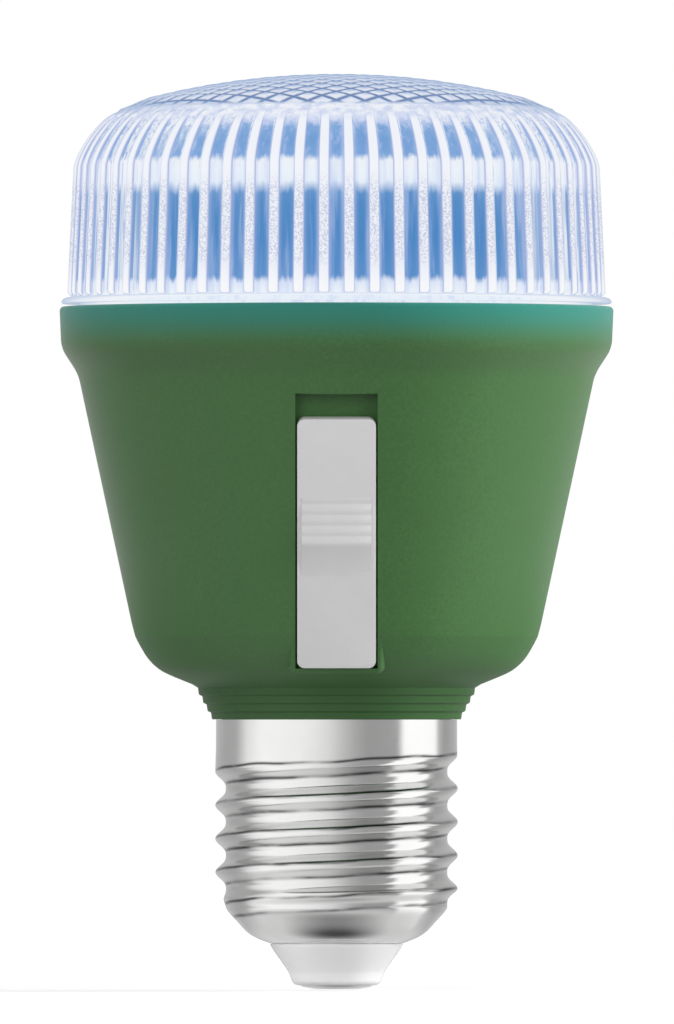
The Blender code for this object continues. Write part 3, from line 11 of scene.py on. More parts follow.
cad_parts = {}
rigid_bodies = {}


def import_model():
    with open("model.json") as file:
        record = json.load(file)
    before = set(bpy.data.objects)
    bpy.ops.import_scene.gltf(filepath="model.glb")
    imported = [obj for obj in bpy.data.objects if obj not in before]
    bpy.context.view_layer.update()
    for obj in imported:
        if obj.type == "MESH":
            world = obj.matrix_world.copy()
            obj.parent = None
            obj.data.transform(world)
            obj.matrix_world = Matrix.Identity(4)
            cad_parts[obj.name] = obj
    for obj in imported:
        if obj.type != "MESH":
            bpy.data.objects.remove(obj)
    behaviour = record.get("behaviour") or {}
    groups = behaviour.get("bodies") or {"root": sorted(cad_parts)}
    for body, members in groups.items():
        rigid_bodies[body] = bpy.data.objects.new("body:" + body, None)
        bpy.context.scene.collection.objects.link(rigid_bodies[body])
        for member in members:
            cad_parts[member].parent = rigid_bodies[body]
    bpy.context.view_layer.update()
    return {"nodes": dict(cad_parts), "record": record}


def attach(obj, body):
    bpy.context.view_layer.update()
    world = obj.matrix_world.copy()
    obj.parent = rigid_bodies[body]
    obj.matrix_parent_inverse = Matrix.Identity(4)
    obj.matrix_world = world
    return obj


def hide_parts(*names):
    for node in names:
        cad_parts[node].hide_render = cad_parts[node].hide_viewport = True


MM = 0.001

for item in list(bpy.data.objects):
    bpy.data.objects.remove(item, do_unlink=True)
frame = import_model()
scene = bpy.context.scene

# Sizes of the CAD part, in millimetres
SEAT = 0.3
THREAD_CREST_R = 13.13
THREAD_ROOT_R = 12.0
THREAD_PITCH = 3.629
THREAD_BOTTOM = 8.8
THREAD_TOP = 26.9
THREAD_PHASE_Z = 18.1
THREAD_CREST_POWER = 1.5
THREAD_FADE_TURNS = 0.42
SHELL_WALL = 0.35
SHELL_SKIRT_R = 13.05
SHELL_TOP = 28.9
SHELL_EDGE_R = 7.25
SHELL_EDGE_Z = 4.95
SPIGOT_LENGTH = 2.4
SPIGOT_R = 12.4
SPIGOT_BORE_R = 10.8
NECK_R = 13.5
NECK_STEP_R = 0.47
NECK_TOP = 32.75
NECK_STEPS = 4
CORNER_R = 21.93
CORNER_Z = 38.45
CORNER_BLEND = 1.2
CONE_TOP_R = 27.9
CONE_TOP_Z = 66.2
RIM_R = 30.0
RIM_BOTTOM_Z = 69.6
RIM_TOP_Z = 73.9
RIM_DRAFT = 0.16
HOUSING_WALL = 1.8
SEAL_BORE_R = 28.1
SEAL_LEDGE_Z = 71.2
BOARD_BORE_R = 26.3
BOARD_LEDGE_Z = 68.0
LEDGE_R = 22.0
LEDGE_LOW_Z = 66.4
LEDGE_FOOT_Z = 64.25
LENS_TOP = 99.1
LENS_BOTTOM = RIM_TOP_Z + SEAT
LENS_SKIRT_IN_R = 26.5
LENS_SKIRT_R = 27.8
LENS_SKIRT_DEPTH = 1.8
LENS_FLANGE_R = 29.8
LENS_FLANGE_THICK = 0.75
LENS_FOOT_R = 29.15
LENS_SHOULDER_R = 28.5
LENS_SHOULDER_Z = 89.0
LENS_CROWN_R = 23.4
LENS_WALL = 1.3
RIB_COUNT = 66
RIB_HEIGHT = 0.5
RIB_WIDTH_SHARE = 0.44
CELL_WIDTH = 3.07
CELL_DEPTH = 3.4
CELL_RISE = 0.4
SLOT_LOW = 35.25
SLOT_WIDTH = 8.85
SLIDE_GAP = 0.2
SLIDER_LENGTH = 27.3
SLIDER_TRAVEL = 2.6
SLIDER_THICK = 1.6
SLIDER_DEPTH = 0.15
SLIDER_CORNER_R = 0.8
SLOT_WALL = 1.0
BOSS_DEPTH = 0.8
BOSS_DRAFT = 0.3
SLOT_FLOOR = 1.2
RAMP_WIDTH = 7.5
RAMP_TOP_RISE = 18.74
RAMP_PEAK_RISE = 13.93
RAMP_FOOT_RISE = 9.92
RAMP_HEIGHT = 1.15
GRIP_GROOVES = 4
GRIP_PITCH = 1.12
GRIP_DEPTH = 0.16
STEM_HALF = 2.2
STEM_LENGTH = 4.6
CONE_SLOPE = (CONE_TOP_R - CORNER_R) / (CONE_TOP_Z - CORNER_Z)
CONE_ANGLE = math.atan(CONE_SLOPE)
CONE_FOOT_R = CORNER_R - CONE_SLOPE * CORNER_Z
NECK_BOTTOM = SHELL_TOP + SEAT
SLIDER_WIDTH = SLOT_WIDTH - 2 * SLIDE_GAP
SLIDER_LOW = SLOT_LOW + SLIDE_GAP
SLIDER_MID = SLIDER_LOW + SLIDER_LENGTH / 2
SLOT_HIGH = SLIDER_LOW + SLIDER_LENGTH + SLIDER_TRAVEL + SLIDE_GAP
SLIDER_BACK = SLIDER_DEPTH + SLIDER_THICK
FLOOR_FRONT = SLIDER_BACK + SEAT

# The photo has the crown's edge 0.45 above the CAD's, and a rounder shoulder
LENS_CROWN_Z = 95.3
SHOULDER_POWER = 0.68
SHOULDER_ANGLE = math.radians(74)


# Mesh helpers


def level_ring(bm, radius, height, segments):
    ring = []
    for index in range(segments):
        angle = 2 * math.pi * index / segments
        ring.append(bm.verts.new((radius * math.cos(angle), radius * math.sin(angle), height)))
    return ring


def join_rings(bm, low, high):
    """Faces between two rings with as many vertices, or between a ring and a single point."""
    if len(low) == 1:
        low, high = high, low
    for index, here in enumerate(low):
        after = (index + 1) % len(low)
        if len(high) == 1:
            bm.faces.new((here, low[after], high[0]))
        else:
            bm.faces.new((here, low[after], high[after], high[index]))


def lathe(profile, segments):
    """Turns a closed profile of (radius, height) points about the Z axis."""
    bm = bmesh.new()
    rings = []
    for radius, height in profile:
        if radius < 1e-6:
            rings.append([bm.verts.new((0.0, 0.0, height))])
        else:
            rings.append(level_ring(bm, radius, height, segments))
    for index, ring in enumerate(rings):
        after = rings[(index + 1) % len(rings)]
        if len(ring) > 1 or len(after) > 1:
            join_rings(bm, ring, after)
    return bm


def add_object(name, bm, angle=35):
    """Turns a bmesh in millimetres into a smooth object in metres."""
    bmesh.ops.recalc_face_normals(bm, faces=bm.faces)
    bmesh.ops.scale(bm, verts=bm.verts, vec=(MM, MM, MM))
    mesh = bpy.data.meshes.new(name)
    bm.to_mesh(mesh)
    bm.free()
    mesh.shade_smooth()
    mesh.set_sharp_from_angle(angle=math.radians(angle))
    item = bpy.data.objects.new(name, mesh)
    scene.collection.objects.link(item)
    return item


def applied(item):
    """The object's mesh with its modifiers carried out."""
    graph = bpy.context.evaluated_depsgraph_get()
    return bpy.data.meshes.new_from_object(item.evaluated_get(graph))


def combine(base, tools, bevel=None):
    """Exact Booleans on a bmesh in millimetres, and a small bevel at the end."""
    body = add_object("work", base)
    for operation, tool in tools:
        cutter = add_object("cutter", tool)
        step = body.modifiers.new("step", "BOOLEAN")
        step.operation = operation
        step.solver = "EXACT"
        step.object = cutter
        mesh = applied(body)
        body.modifiers.remove(step)
        body.data = mesh
        bpy.data.objects.remove(cutter, do_unlink=True)
    if bevel:
        step = body.modifiers.new("soft", "BEVEL")
        step.width = bevel * MM
        step.segments = 2
        step.limit_method = "ANGLE"
        step.angle_limit = math.radians(40)
        body.data = applied(body)
    bm = bmesh.new()
    bm.from_mesh(body.data)
    bpy.data.objects.remove(body, do_unlink=True)
    bmesh.ops.scale(bm, verts=bm.verts, vec=(1 / MM, 1 / MM, 1 / MM))
    return bm


def box(low, high):
    bm = bmesh.new()
    centre = [(a + b) / 2 for a, b in zip(low, high)]
    size = [abs(b - a) for a, b in zip(low, high)]
    place = Matrix.Translation(centre) @ Matrix.Diagonal((*size, 1.0))
    bmesh.ops.create_cube(bm, size=1.0, matrix=place)
    return bm


def prism(outline, low, high, axis):
    """An outline drawn in the other two axes, carried along X or Y."""
    bm = bmesh.new()
    ends = []
    for level in (low, high):
        ring = []
        for first, second in outline:
            place = (first, level, second) if axis == "Y" else (level, first, second)
            ring.append(bm.verts.new(place))
        ends.append(ring)
    join_rings(bm, ends[0], ends[1])
    bm.faces.new(ends[0])
    bm.faces.new(ends[1])
    return bm


def tilt_mesh(bm):
    """Leans an upright mesh with the cone, so that its plane y = 0 lies on the cone's front."""
    turn = Matrix.Translation((0.0, -CONE_FOOT_R, 0.0)) @ Matrix.Rotation(CONE_ANGLE, 4, "X")
    bmesh.ops.transform(bm, matrix=turn, verts=bm.verts)
    return bm


def rounded_profile(points, radius, steps=4):
    """Rounds the inner corners of an open profile with small arcs."""
    result = [points[0]]
    for before, here, after in zip(points, points[1:], points[2:]):
        a = Vector(before) - Vector(here)
        b = Vector(after) - Vector(here)
        cut = min(radius, 0.45 * a.length, 0.45 * b.length)
        start = Vector(here) + a.normalized() * cut
        end = Vector(here) + b.normalized() * cut
        for step in range(steps + 1):
            t = step / steps
            point = (1 - t) ** 2 * start + 2 * t * (1 - t) * Vector(here) + t * t * end
            result.append((point.x, point.y))
    result.append(points[-1])
    return result


def rounded_outline(half_width, low, high, radius, steps=6):
    """Upright rectangle with round corners, as (x, z) points."""
    points = []
    corners = (
        (half_width - radius, low + radius, -90),
        (half_width - radius, high - radius, 0),
        (-half_width + radius, high - radius, 90),
        (-half_width + radius, low + radius, 180),
    )
    for x, z, start in corners:
        for step in range(steps + 1):
            angle = math.radians(start + 90 * step / steps)
            points.append((x + radius * math.cos(angle), z + radius * math.sin(angle)))
    return points


def smooth_curve(points, steps=4):
    """A smooth line through measured points."""
    result = []
    for index in range(len(points) - 1):
        p0 = Vector(points[max(index - 1, 0)])
        p1 = Vector(points[index])
        p2 = Vector(points[index + 1])
        p3 = Vector(points[min(index + 2, len(points) - 1)])
        for step in range(steps):
            t = step / steps
            point = 0.5 * (
                2 * p1 + (p2 - p0) * t + (2 * p0 - 5 * p1 + 4 * p2 - p3) * t * t
                + (3 * p1 - p0 - 3 * p2 + p3) * t ** 3
            )
            result.append((point.x, point.y))
    result.append(points[-1])
    return result


def soften(share):
    """Soft step from 0 to 1."""
    share = min(1.0, max(0.0, share))
    return share * share * (3 - 2 * share)


# Screw shell

SHELL_SEGMENTS = 144
OUTER_ROWS = 190
INNER_ROWS = 40
LINES_START_Z = 7.4
# The thread's two painted dark reflection lines, as (place above the crest, width) in turns
UPPER_LINE = (0.08, 0.042)
LOWER_LINE = (-0.35, 0.048)
# The bowl under the thread, as shares of its reach outwards and of its height
BOWL = ((0.0, 0.0), (0.29, 0.14), (0.52, 0.32), (0.77, 0.65), (0.93, 0.865), (1.0, 1.0))


def thread_place(height, turn):
    """Turns above the reference crest, and how much thread is left before it fades out."""
    phase = (height - THREAD_PHASE_Z) / THREAD_PITCH - turn
    last_turns = (THREAD_TOP - THREAD_PHASE_Z) / THREAD_PITCH - 1
    return phase, (last_turns - math.floor(phase) - turn) / THREAD_FADE_TURNS


def thread_radius(height, turn, offset):
    phase, left = thread_place(height, turn)
    crest = (0.5 + 0.5 * math.cos(2 * math.pi * phase)) ** THREAD_CREST_POWER
    run_in = soften((height - THREAD_BOTTOM) / (0.6 * THREAD_PITCH))
    near_top = soften((THREAD_TOP - height) / THREAD_PITCH)
    top_r = SHELL_SKIRT_R + (THREAD_CREST_R - SHELL_SKIRT_R) * near_top
    return top_r - (THREAD_CREST_R - THREAD_ROOT_R) * (1 - crest * run_in) * soften(left) - offset


def painted_reflection_lines(height, turn):
    """Nearness to the two painted dark reflection lines of each thread turn: above its crest and above its
    root.
    """
    phase, left = thread_place(height, turn)
    from_crest = phase - round(phase)
    angle = 2 * math.pi * turn
    wander = 0.025 * math.sin(5 * angle + 0.6) + 0.012 * math.sin(13 * angle)
    upper_place, upper_width = UPPER_LINE
    lower_place, lower_width = LOWER_LINE
    upper = math.exp(-((from_crest - upper_place - wander) / upper_width) ** 2)
    lower = math.exp(-((from_crest - lower_place - 0.5 * wander) / lower_width) ** 2)
    line = max(upper * soften(left + 1 / THREAD_FADE_TURNS), lower * soften(left))
    return soften((height - LINES_START_Z) / 0.6) * line


def shell_ring(bm, height, offset, radius=None):
    """Ring of the shell, which follows the thread where no radius is given."""
    flank_layer = bm.verts.layers.float["flank"]
    ring = []
    for index in range(SHELL_SEGMENTS):
        turn = index / SHELL_SEGMENTS
        angle = 2 * math.pi * turn
        here = radius or thread_radius(height, turn, offset)
        vert = bm.verts.new((here * math.cos(angle), here * math.sin(angle), height))
        vert[flank_layer] = 0.0 if offset else painted_reflection_lines(height, turn)
        ring.append(vert)
    return ring


def shell_skin(bm, offset, rows):
    """Rings of one side of the shell, from the bowl's edge up to the neck."""
    rings = []
    for share_r, share_z in smooth_curve(BOWL, 5):
        radius = SHELL_EDGE_R + share_r * (THREAD_ROOT_R - SHELL_EDGE_R) - offset * share_r
        height = SHELL_EDGE_Z + share_z * (THREAD_BOTTOM - SHELL_EDGE_Z) + offset * (1.0 - share_z)
        rings.append(shell_ring(bm, height, offset, radius))
    for row in range(1, rows + 1):
        height = THREAD_BOTTOM + (THREAD_TOP - THREAD_BOTTOM) * row / rows
        rings.append(shell_ring(bm, height, offset))
    for height in (THREAD_TOP + 0.5, NECK_BOTTOM - 0.02):
        rings.append(level_ring(bm, SHELL_SKIRT_R - offset, height, SHELL_SEGMENTS))
    for low, high in zip(rings, rings[1:]):
        join_rings(bm, low, high)
    return rings


def make_shell():
    bm = bmesh.new()
    bm.verts.layers.float.new("flank")
    outside = shell_skin(bm, 0.0, OUTER_ROWS)
    inside = shell_skin(bm, SHELL_WALL, INNER_ROWS)
    join_rings(bm, outside[0], inside[0])
    join_rings(bm, outside[-1], inside[-1])
    return add_object("shell_fine", bm, 50)


# Housing

POCKET_REACH = 6.0
OPENING_HALF = 2.5
OPENING_TOP = 5.0
OPENING_DEPTH = 1.7
# The rounded corner over the neck, as shares of its reach outwards and of its height
CORNER = ((0.0, 0.0), (0.46, 0.23), (0.64, 0.36), (0.78, 0.53), (0.89, 0.74), (0.968, 0.92), (0.992, 1.0))
# The slot's tray: how far its outline stands round the slot, and at which depth
TRAY_ROWS = (
    (0.22, BOSS_DEPTH + 0.02),
    (0.40, BOSS_DEPTH + 0.12),
    (0.58, BOSS_DEPTH + 0.36),
    (SLOT_WALL - BOSS_DRAFT, BOSS_DEPTH + 0.75),
    (SLOT_WALL, FLOOR_FRONT + SLOT_FLOOR),
)


def neck_profile():
    points = []
    rise = (NECK_TOP - NECK_BOTTOM) / NECK_STEPS
    for step in range(NECK_STEPS):
        radius = NECK_R + step * NECK_STEP_R
        low = NECK_BOTTOM + step * rise
        points.append((radius, low))
        points.append((radius + 0.1, low + 0.85 * rise))
    return points


def corner_profile():
    """Smooth curve through the corner's measured points."""
    start_r = NECK_R + (NECK_STEPS - 1) * NECK_STEP_R + 0.1
    span_r = CORNER_R - start_r
    span_z = CORNER_Z - NECK_TOP
    points = [(start_r + a * span_r, NECK_TOP + b * span_z) for a, b in CORNER]
    blend_z = CORNER_Z + CORNER_BLEND
    return points + [(CORNER_R + CONE_SLOPE * CORNER_BLEND, blend_z)]


def rim_profile():
    """From the cone up over the rim."""
    low_r = RIM_R - RIM_DRAFT
    span_r = low_r - CONE_TOP_R
    span_z = RIM_BOTTOM_Z - CONE_TOP_Z
    return [
        (CORNER_R + 2.0 * CONE_SLOPE, CORNER_Z + 2.0),
        (CONE_TOP_R, CONE_TOP_Z),
        (CONE_TOP_R + 0.22 * span_r, CONE_TOP_Z + 0.27 * span_z),
        (CONE_TOP_R + 0.85 * span_r, CONE_TOP_Z + 0.82 * span_z),
        (low_r, RIM_BOTTOM_Z + 0.3),
        (RIM_R, RIM_TOP_Z - 0.3),
        (RIM_R - 0.25, RIM_TOP_Z),
        (SEAL_BORE_R + 0.1, RIM_TOP_Z),
    ]


def housing_inside():
    """From the rim down over the two ledges, the cone and the neck to the spigot."""
    wall = HOUSING_WALL / math.cos(CONE_ANGLE)
    return [
        (SEAL_BORE_R, RIM_TOP_Z - 0.05),
        (SEAL_BORE_R, SEAL_LEDGE_Z),
        (BOARD_BORE_R, SEAL_LEDGE_Z),
        (BOARD_BORE_R, BOARD_LEDGE_Z),
        (LEDGE_R, BOARD_LEDGE_Z),
        (LEDGE_R, LEDGE_LOW_Z),
        (CORNER_R + CONE_SLOPE * (LEDGE_FOOT_Z - CORNER_Z) - wall, LEDGE_FOOT_Z),
        (CORNER_R + CONE_SLOPE * 0.4 - wall, CORNER_Z + 0.4),
        (CORNER_R - 2.1 * HOUSING_WALL, CORNER_Z - 2.0),
        (NECK_R + 0.8, NECK_TOP + HOUSING_WALL),
        (SPIGOT_BORE_R, NECK_TOP + 0.6 * HOUSING_WALL),
        (SPIGOT_BORE_R, NECK_BOTTOM - SPIGOT_LENGTH),
        (SPIGOT_R, NECK_BOTTOM - SPIGOT_LENGTH),
    ]


def make_tray():
    """The slot's tray, drawn upright with its soft front edge towards -Y."""
    bm = bmesh.new()
    rings = []
    for lip, depth in TRAY_ROWS:
        places = rounded_outline(SLOT_WIDTH / 2 + lip, SLOT_LOW - lip, SLOT_HIGH + lip, 0.3 + 0.8 * lip)
        rings.append([bm.verts.new((x, depth, z)) for x, z in places])
    for front, back in zip(rings, rings[1:]):
        join_rings(bm, front, back)
    bm.faces.new(rings[0])
    bm.faces.new(rings[-1])
    return bm


def make_housing():
    outer = rounded_profile([(SPIGOT_R, NECK_BOTTOM)] + neck_profile(), 0.12, 2)
    outer += smooth_curve(corner_profile(), 4)[1:]
    outer += rounded_profile(rim_profile(), 0.8, 4)
    half = SLOT_WIDTH / 2
    pocket = box((-half, -POCKET_REACH, SLOT_LOW), (half, FLOOR_FRONT, SLOT_HIGH))
    opening = box(
        (-OPENING_HALF, FLOOR_FRONT - 0.5, SLIDER_MID - OPENING_HALF),
        (OPENING_HALF, FLOOR_FRONT + OPENING_DEPTH, SLIDER_MID + OPENING_TOP),
    )
    tools = [
        ("UNION", tilt_mesh(make_tray())),
        ("DIFFERENCE", tilt_mesh(pocket)),
        ("DIFFERENCE", tilt_mesh(opening)),
    ]
    bm = combine(lathe(outer + housing_inside(), 180), tools)
    return add_object("housing_fine", bm, 30)


# Lens

RIB_STEPS = 12
RING_STEPS = RIB_COUNT * RIB_STEPS
INNER_STEPS = RING_STEPS // 4
WALL_ROWS = 14
SHOULDER_ROWS = 12
# Mesh points along half a cell of the crown
CROWN_STEPS = 8
# Light that spills from a rib into the clear gap beside it, by steps of the rib's pitch
FLARES = {2: 0.2, 3: 0.9, 9: 0.9, 10: 0.2}
# Where on the shoulder the ribs begin to sink, and where they end
RIB_SINK = 0.72
RIB_END = 0.93
# Skirt and flange, as (radius, height over the flange's underside)
LENS_FOOT = (
    (LENS_SKIRT_IN_R, -LENS_SKIRT_DEPTH),
    (LENS_SKIRT_R, -LENS_SKIRT_DEPTH),
    (LENS_SKIRT_R, 0.0),
    (LENS_FLANGE_R - 0.12, 0.0),
    (LENS_FLANGE_R, 0.12),
    (LENS_FLANGE_R - 0.02, 0.3),
    (LENS_FLANGE_R - 0.2, 0.55),
    (LENS_FLANGE_R - 0.6, LENS_FLANGE_THICK - 0.06),
)


def shoulder_point(share):
    """Point on the rounded shoulder, from the wall (0) to the crown's edge (1)."""
    turn = share * SHOULDER_ANGLE
    inward = ((1 - math.cos(turn)) / (1 - math.cos(SHOULDER_ANGLE))) ** SHOULDER_POWER
    upward = math.sin(turn) / math.sin(SHOULDER_ANGLE)
    radius = LENS_SHOULDER_R - (LENS_SHOULDER_R - LENS_CROWN_R) * inward
    return radius, LENS_SHOULDER_Z + (LENS_CROWN_Z - LENS_SHOULDER_Z) * upward


def dome_height(radius, rim_r, rim_z, top_z):
    """Height of a shallow dome over a point at this radius."""
    rise = top_z - rim_z
    ball = (rim_r * rim_r + rise * rise) / (2 * rise)
    return top_z - ball + math.sqrt(max(0.0, ball * ball - radius * radius))


def rib_levels():
    """Rows of the fluted wall as (crest radius, height, rib height)."""
    wall_low = LENS_BOTTOM + LENS_FLANGE_THICK + 0.5
    rows = []
    for share in (0.0, 0.3, 0.6, 0.85, 1.0):
        rib = RIB_HEIGHT * math.sin(0.5 * math.pi * share)
        rows.append((LENS_FOOT_R - RIB_HEIGHT + rib, wall_low - 0.5 * (1 - share), rib))
    for row in range(1, WALL_ROWS + 1):
        share = row / WALL_ROWS
        height = wall_low + (LENS_SHOULDER_Z - wall_low) * share
        rows.append((LENS_FOOT_R + (LENS_SHOULDER_R - LENS_FOOT_R) * share, height, RIB_HEIGHT))
    for row in range(1, SHOULDER_ROWS + 1):
        share = RIB_END * row / SHOULDER_ROWS
        radius, height = shoulder_point(share)
        fade = soften(1 - (share - RIB_SINK) / (RIB_END - RIB_SINK))
        sunk = 0.1 * (1 - fade)
        rows.append((radius - sunk, height - sunk, RIB_HEIGHT * (1 - 0.4 * share) * fade))
    return rows


def rib_wave(step):
    """Share of the rib's height across one pitch."""
    share = (step / RIB_STEPS - 0.5) / (0.5 * RIB_WIDTH_SHARE)
    if abs(share) >= 1:
        return 0.0
    return math.sqrt(1 - share * share) ** 0.9


def lens_ring(bm, radius, height, rib=0.0, steps=RING_STEPS):
    """Ring of the lens, which waves where it has a rib height and keeps what the material needs."""
    rib_layer = bm.verts.layers.float["rib"]
    flare_layer = bm.verts.layers.float["flare"]
    ring = []
    for index in range(steps):
        angle = -math.pi / 2 + 2 * math.pi * index / steps
        wave = rib_wave(index % RIB_STEPS)
        here = radius - rib * (1 - wave)
        vert = bm.verts.new((here * math.cos(angle), here * math.sin(angle), height))
        if rib:
            vert[rib_layer] = wave * min(1.0, rib / (0.5 * RIB_HEIGHT))
            vert[flare_layer] = FLARES.get(index % RIB_STEPS, 0.0)
        ring.append(vert)
    return ring


def cell_height(x, y):
    """Height of the diamond pillows and nearness to a groove at a point of the crown."""
    half_x = CELL_WIDTH / 2
    half_y = CELL_DEPTH / 2
    u = (x / half_x + y / half_y) / 2
    v = (x / half_x - y / half_y) / 2
    du = abs(u - round(u)) * 2
    dv = abs(v - round(v)) * 2
    edge = max(du, dv)
    return 1 - edge ** 3.2, edge


def crown_points(reach, step_x, step_y):
    """Grid of points within a radius, in step with the cells."""
    points = []
    reach_x = int(LENS_CROWN_R / step_x) + 1
    reach_y = int(LENS_CROWN_R / step_y) + 1
    for column in range(-reach_x, reach_x + 1):
        for row in range(-reach_y, reach_y + 1):
            place = Vector((column * step_x, row * step_y))
            if place.length < reach:
                points.append(place)
    return points


def fill_crown(bm, ring):
    """Domed crown with its diamond cells, within the last ring of the shoulder."""
    groove_layer = bm.verts.layers.float["groove"]
    points = [Vector((vert.co.x, vert.co.y)) for vert in ring]
    edges = [(index, (index + 1) % len(ring)) for index in range(len(ring))]
    points += crown_points(LENS_CROWN_R - 0.25, CELL_WIDTH / 2 / CROWN_STEPS, CELL_DEPTH / 2 / CROWN_STEPS)
    places, _, faces, origins, _, _ = delaunay_2d_cdt(points, edges, [], 1, 1e-5)
    verts = []
    for place, origin in zip(places, origins):
        known = [index for index in origin if index < len(ring)]
        if known:
            verts.append(ring[known[0]])
            continue
        height = dome_height(place.length, LENS_CROWN_R, LENS_CROWN_Z, LENS_TOP - CELL_RISE)
        rise, edge = cell_height(place.x, place.y)
        from_rim = LENS_CROWN_R - place.length
        vert = bm.verts.new((place.x, place.y, height + CELL_RISE * rise * soften(from_rim / 3.2)))
        vert[groove_layer] = max(0.0, (edge - 0.72) / 0.28) * min(1.0, from_rim / 0.4)
        verts.append(vert)
    for face in faces:
        bm.faces.new([verts[index] for index in face])


def lens_inside(bm):
    """Coarser rings of the inner side, from the skirt to the middle of the crown."""
    places = [(LENS_SKIRT_IN_R, LENS_BOTTOM - LENS_SKIRT_DEPTH + 0.01)]
    for share in (0.0, 0.12, 0.24, 0.36, 0.5, 0.65, 0.8, 1.0):
        radius, height = shoulder_point(share)
        inset = LENS_WALL + RIB_HEIGHT * (1.0 - share)
        places.append((radius - inset, height - inset * share))
    top = LENS_TOP - CELL_RISE - LENS_WALL
    rim = LENS_CROWN_R - LENS_WALL
    for share in (0.8, 0.6, 0.4, 0.2):
        radius = rim * share
        places.append((radius, dome_height(radius, rim, LENS_CROWN_Z - LENS_WALL, top)))
    rings = [lens_ring(bm, radius, height, steps=INNER_STEPS) for radius, height in places]
    return rings + [[bm.verts.new((0.0, 0.0, top))]]


def join_skirt(bm, outer, inner):
    """Faces under the skirt, from a fine ring to a coarse one."""
    finer = len(outer) // len(inner)
    for index, here in enumerate(outer):
        after = outer[(index + 1) % len(outer)]
        near = inner[index // finer]
        far = inner[(index // finer + 1) % len(inner)]
        if index % finer == finer - 1:
            bm.faces.new((here, after, far))
            bm.faces.new((here, far, near))
        else:
            bm.faces.new((here, after, near))


def make_lens():
    bm = bmesh.new()
    for name in ("rib", "flare", "groove"):
        bm.verts.layers.float.new(name)
    outside = [lens_ring(bm, radius, LENS_BOTTOM + rise) for radius, rise in LENS_FOOT]
    outside += [lens_ring(bm, radius, height, rib) for radius, height, rib in rib_levels()]
    outside.append(lens_ring(bm, LENS_CROWN_R, LENS_CROWN_Z))
    fill_crown(bm, outside[-1])
    inside = lens_inside(bm)
    for rings in (outside, inside):
        for low, high in zip(rings, rings[1:]):
            join_rings(bm, low, high)
    join_skirt(bm, outside[0], inside[0])
    return add_object("lens_fine", bm, 60)


# Slider

RAMP_STEPS = 9
# One groove of the grip, as (place along it, share of its depth)
GRIP_GROOVE = ((-0.25, 0.0), (-0.08, 0.6), (0.08, 0.6), (0.25, 0.0))


def ramp_outline():
    """Side view of the finger ramp, as (depth, height) points."""
    face = SLIDER_DEPTH
    top = SLIDER_LOW + RAMP_TOP_RISE
    peak = SLIDER_LOW + RAMP_PEAK_RISE
    foot = SLIDER_LOW + RAMP_FOOT_RISE
    slope = RAMP_HEIGHT / (top - peak)
    points = [(face + 0.5, foot), (face, foot)]
    for step in range(1, RAMP_STEPS):
        share = step / RAMP_STEPS
        points.append((face - RAMP_HEIGHT * share ** 1.4, foot + (peak - foot) * share))
    points.append((face - RAMP_HEIGHT, peak - 0.08))
    points.append((face - RAMP_HEIGHT + 0.02, peak + 0.1))
    start = peak + (top - peak - (GRIP_GROOVES - 1) * GRIP_PITCH) / 2
    for index in range(GRIP_GROOVES):
        for shift, cut in GRIP_GROOVE:
            place = start + index * GRIP_PITCH + shift
            rise = RAMP_HEIGHT - slope * (place - peak)
            points.append((face - rise + cut * GRIP_DEPTH, place))
    points += [(face - 0.1, top), (face, top), (face + 0.5, top)]
    return points


def make_slider():
    outline = rounded_outline(SLIDER_WIDTH / 2, SLIDER_LOW, SLIDER_LOW + SLIDER_LENGTH, SLIDER_CORNER_R)
    plate = prism(outline, SLIDER_DEPTH, SLIDER_BACK, "Y")
    ramp = prism(ramp_outline(), -RAMP_WIDTH / 2, RAMP_WIDTH / 2, "X")
    stem = box(
        (-STEM_HALF, SLIDER_BACK - 0.5, SLIDER_MID - STEM_HALF),
        (STEM_HALF, SLIDER_BACK + STEM_LENGTH, SLIDER_MID + STEM_HALF),
    )
    bm = combine(plate, [("UNION", ramp), ("UNION", stem)], bevel=0.16)
    return add_object("slider_fine", tilt_mesh(bm), 30)


# Base, as (radius, height) points

INSULATOR_TIP = [(1.35, 0.7), (4.02, 0.7), (4.02, 0.42)]
INSULATOR_CONE = [
    (4.08, 0.4), (4.4, 0.46), (4.66, 0.62), (4.83, 0.85), (4.93, 1.1), (5.09, 1.52),
    (5.37, 2.06), (6.5, 3.68), (6.87, 4.22), (7.1, 4.6), (7.22, 4.9),
]
INSULATOR_PLUG = [(6.9, 4.9), (6.9, 5.85), (8.2, 6.2), (8.2, 7.6), (1.35, 7.6)]
CONTACT_DOME = [(1.9, 0.0), (2.4, 0.03), (2.9, 0.1), (3.4, 0.19), (3.75, 0.28), (3.8, 0.34)]
CONTACT_RIVET = [(3.8, 0.4), (1.05, 0.4), (1.05, 7.9), (1.8, 7.9), (1.8, 8.5), (0.0, 8.5)]


def make_insulator():
    profile = INSULATOR_TIP + smooth_curve(INSULATOR_CONE, 4) + INSULATOR_PLUG
    return add_object("insulator_fine", lathe(profile, 128), 40)


def make_contact():
    profile = [(0.0, 0.0)] + smooth_curve(CONTACT_DOME, 3) + CONTACT_RIVET
    return add_object("contact_fine", lathe(profile, 96), 50)


# Materials

# Heights between which a look changes, in metres
NECK_PAINTED_SHADE = (0.0338, 0.0320)
CONE_SHEEN = (0.036, 0.048)
RIM_PAINTED_LENS_LIGHT = (0.0690, 0.0738)
LENS_SPAN = (0.0742, 0.0992)
LINES_BEGIN = (0.0750, 0.0756)
WHITE_FOOT = (0.0775, 0.0755)
FROST_BEGIN = (0.0770, 0.0795)
FROST_END = (0.0885, 0.0855)
SHOULDER_SOLID = (0.0929, 0.0949)
SHOULDER_HAZE = (0.0933, 0.0945)
CROWN_BEGIN = (0.0954, 0.0957)
CROWN_EDGE = (0.0935, 0.0985)


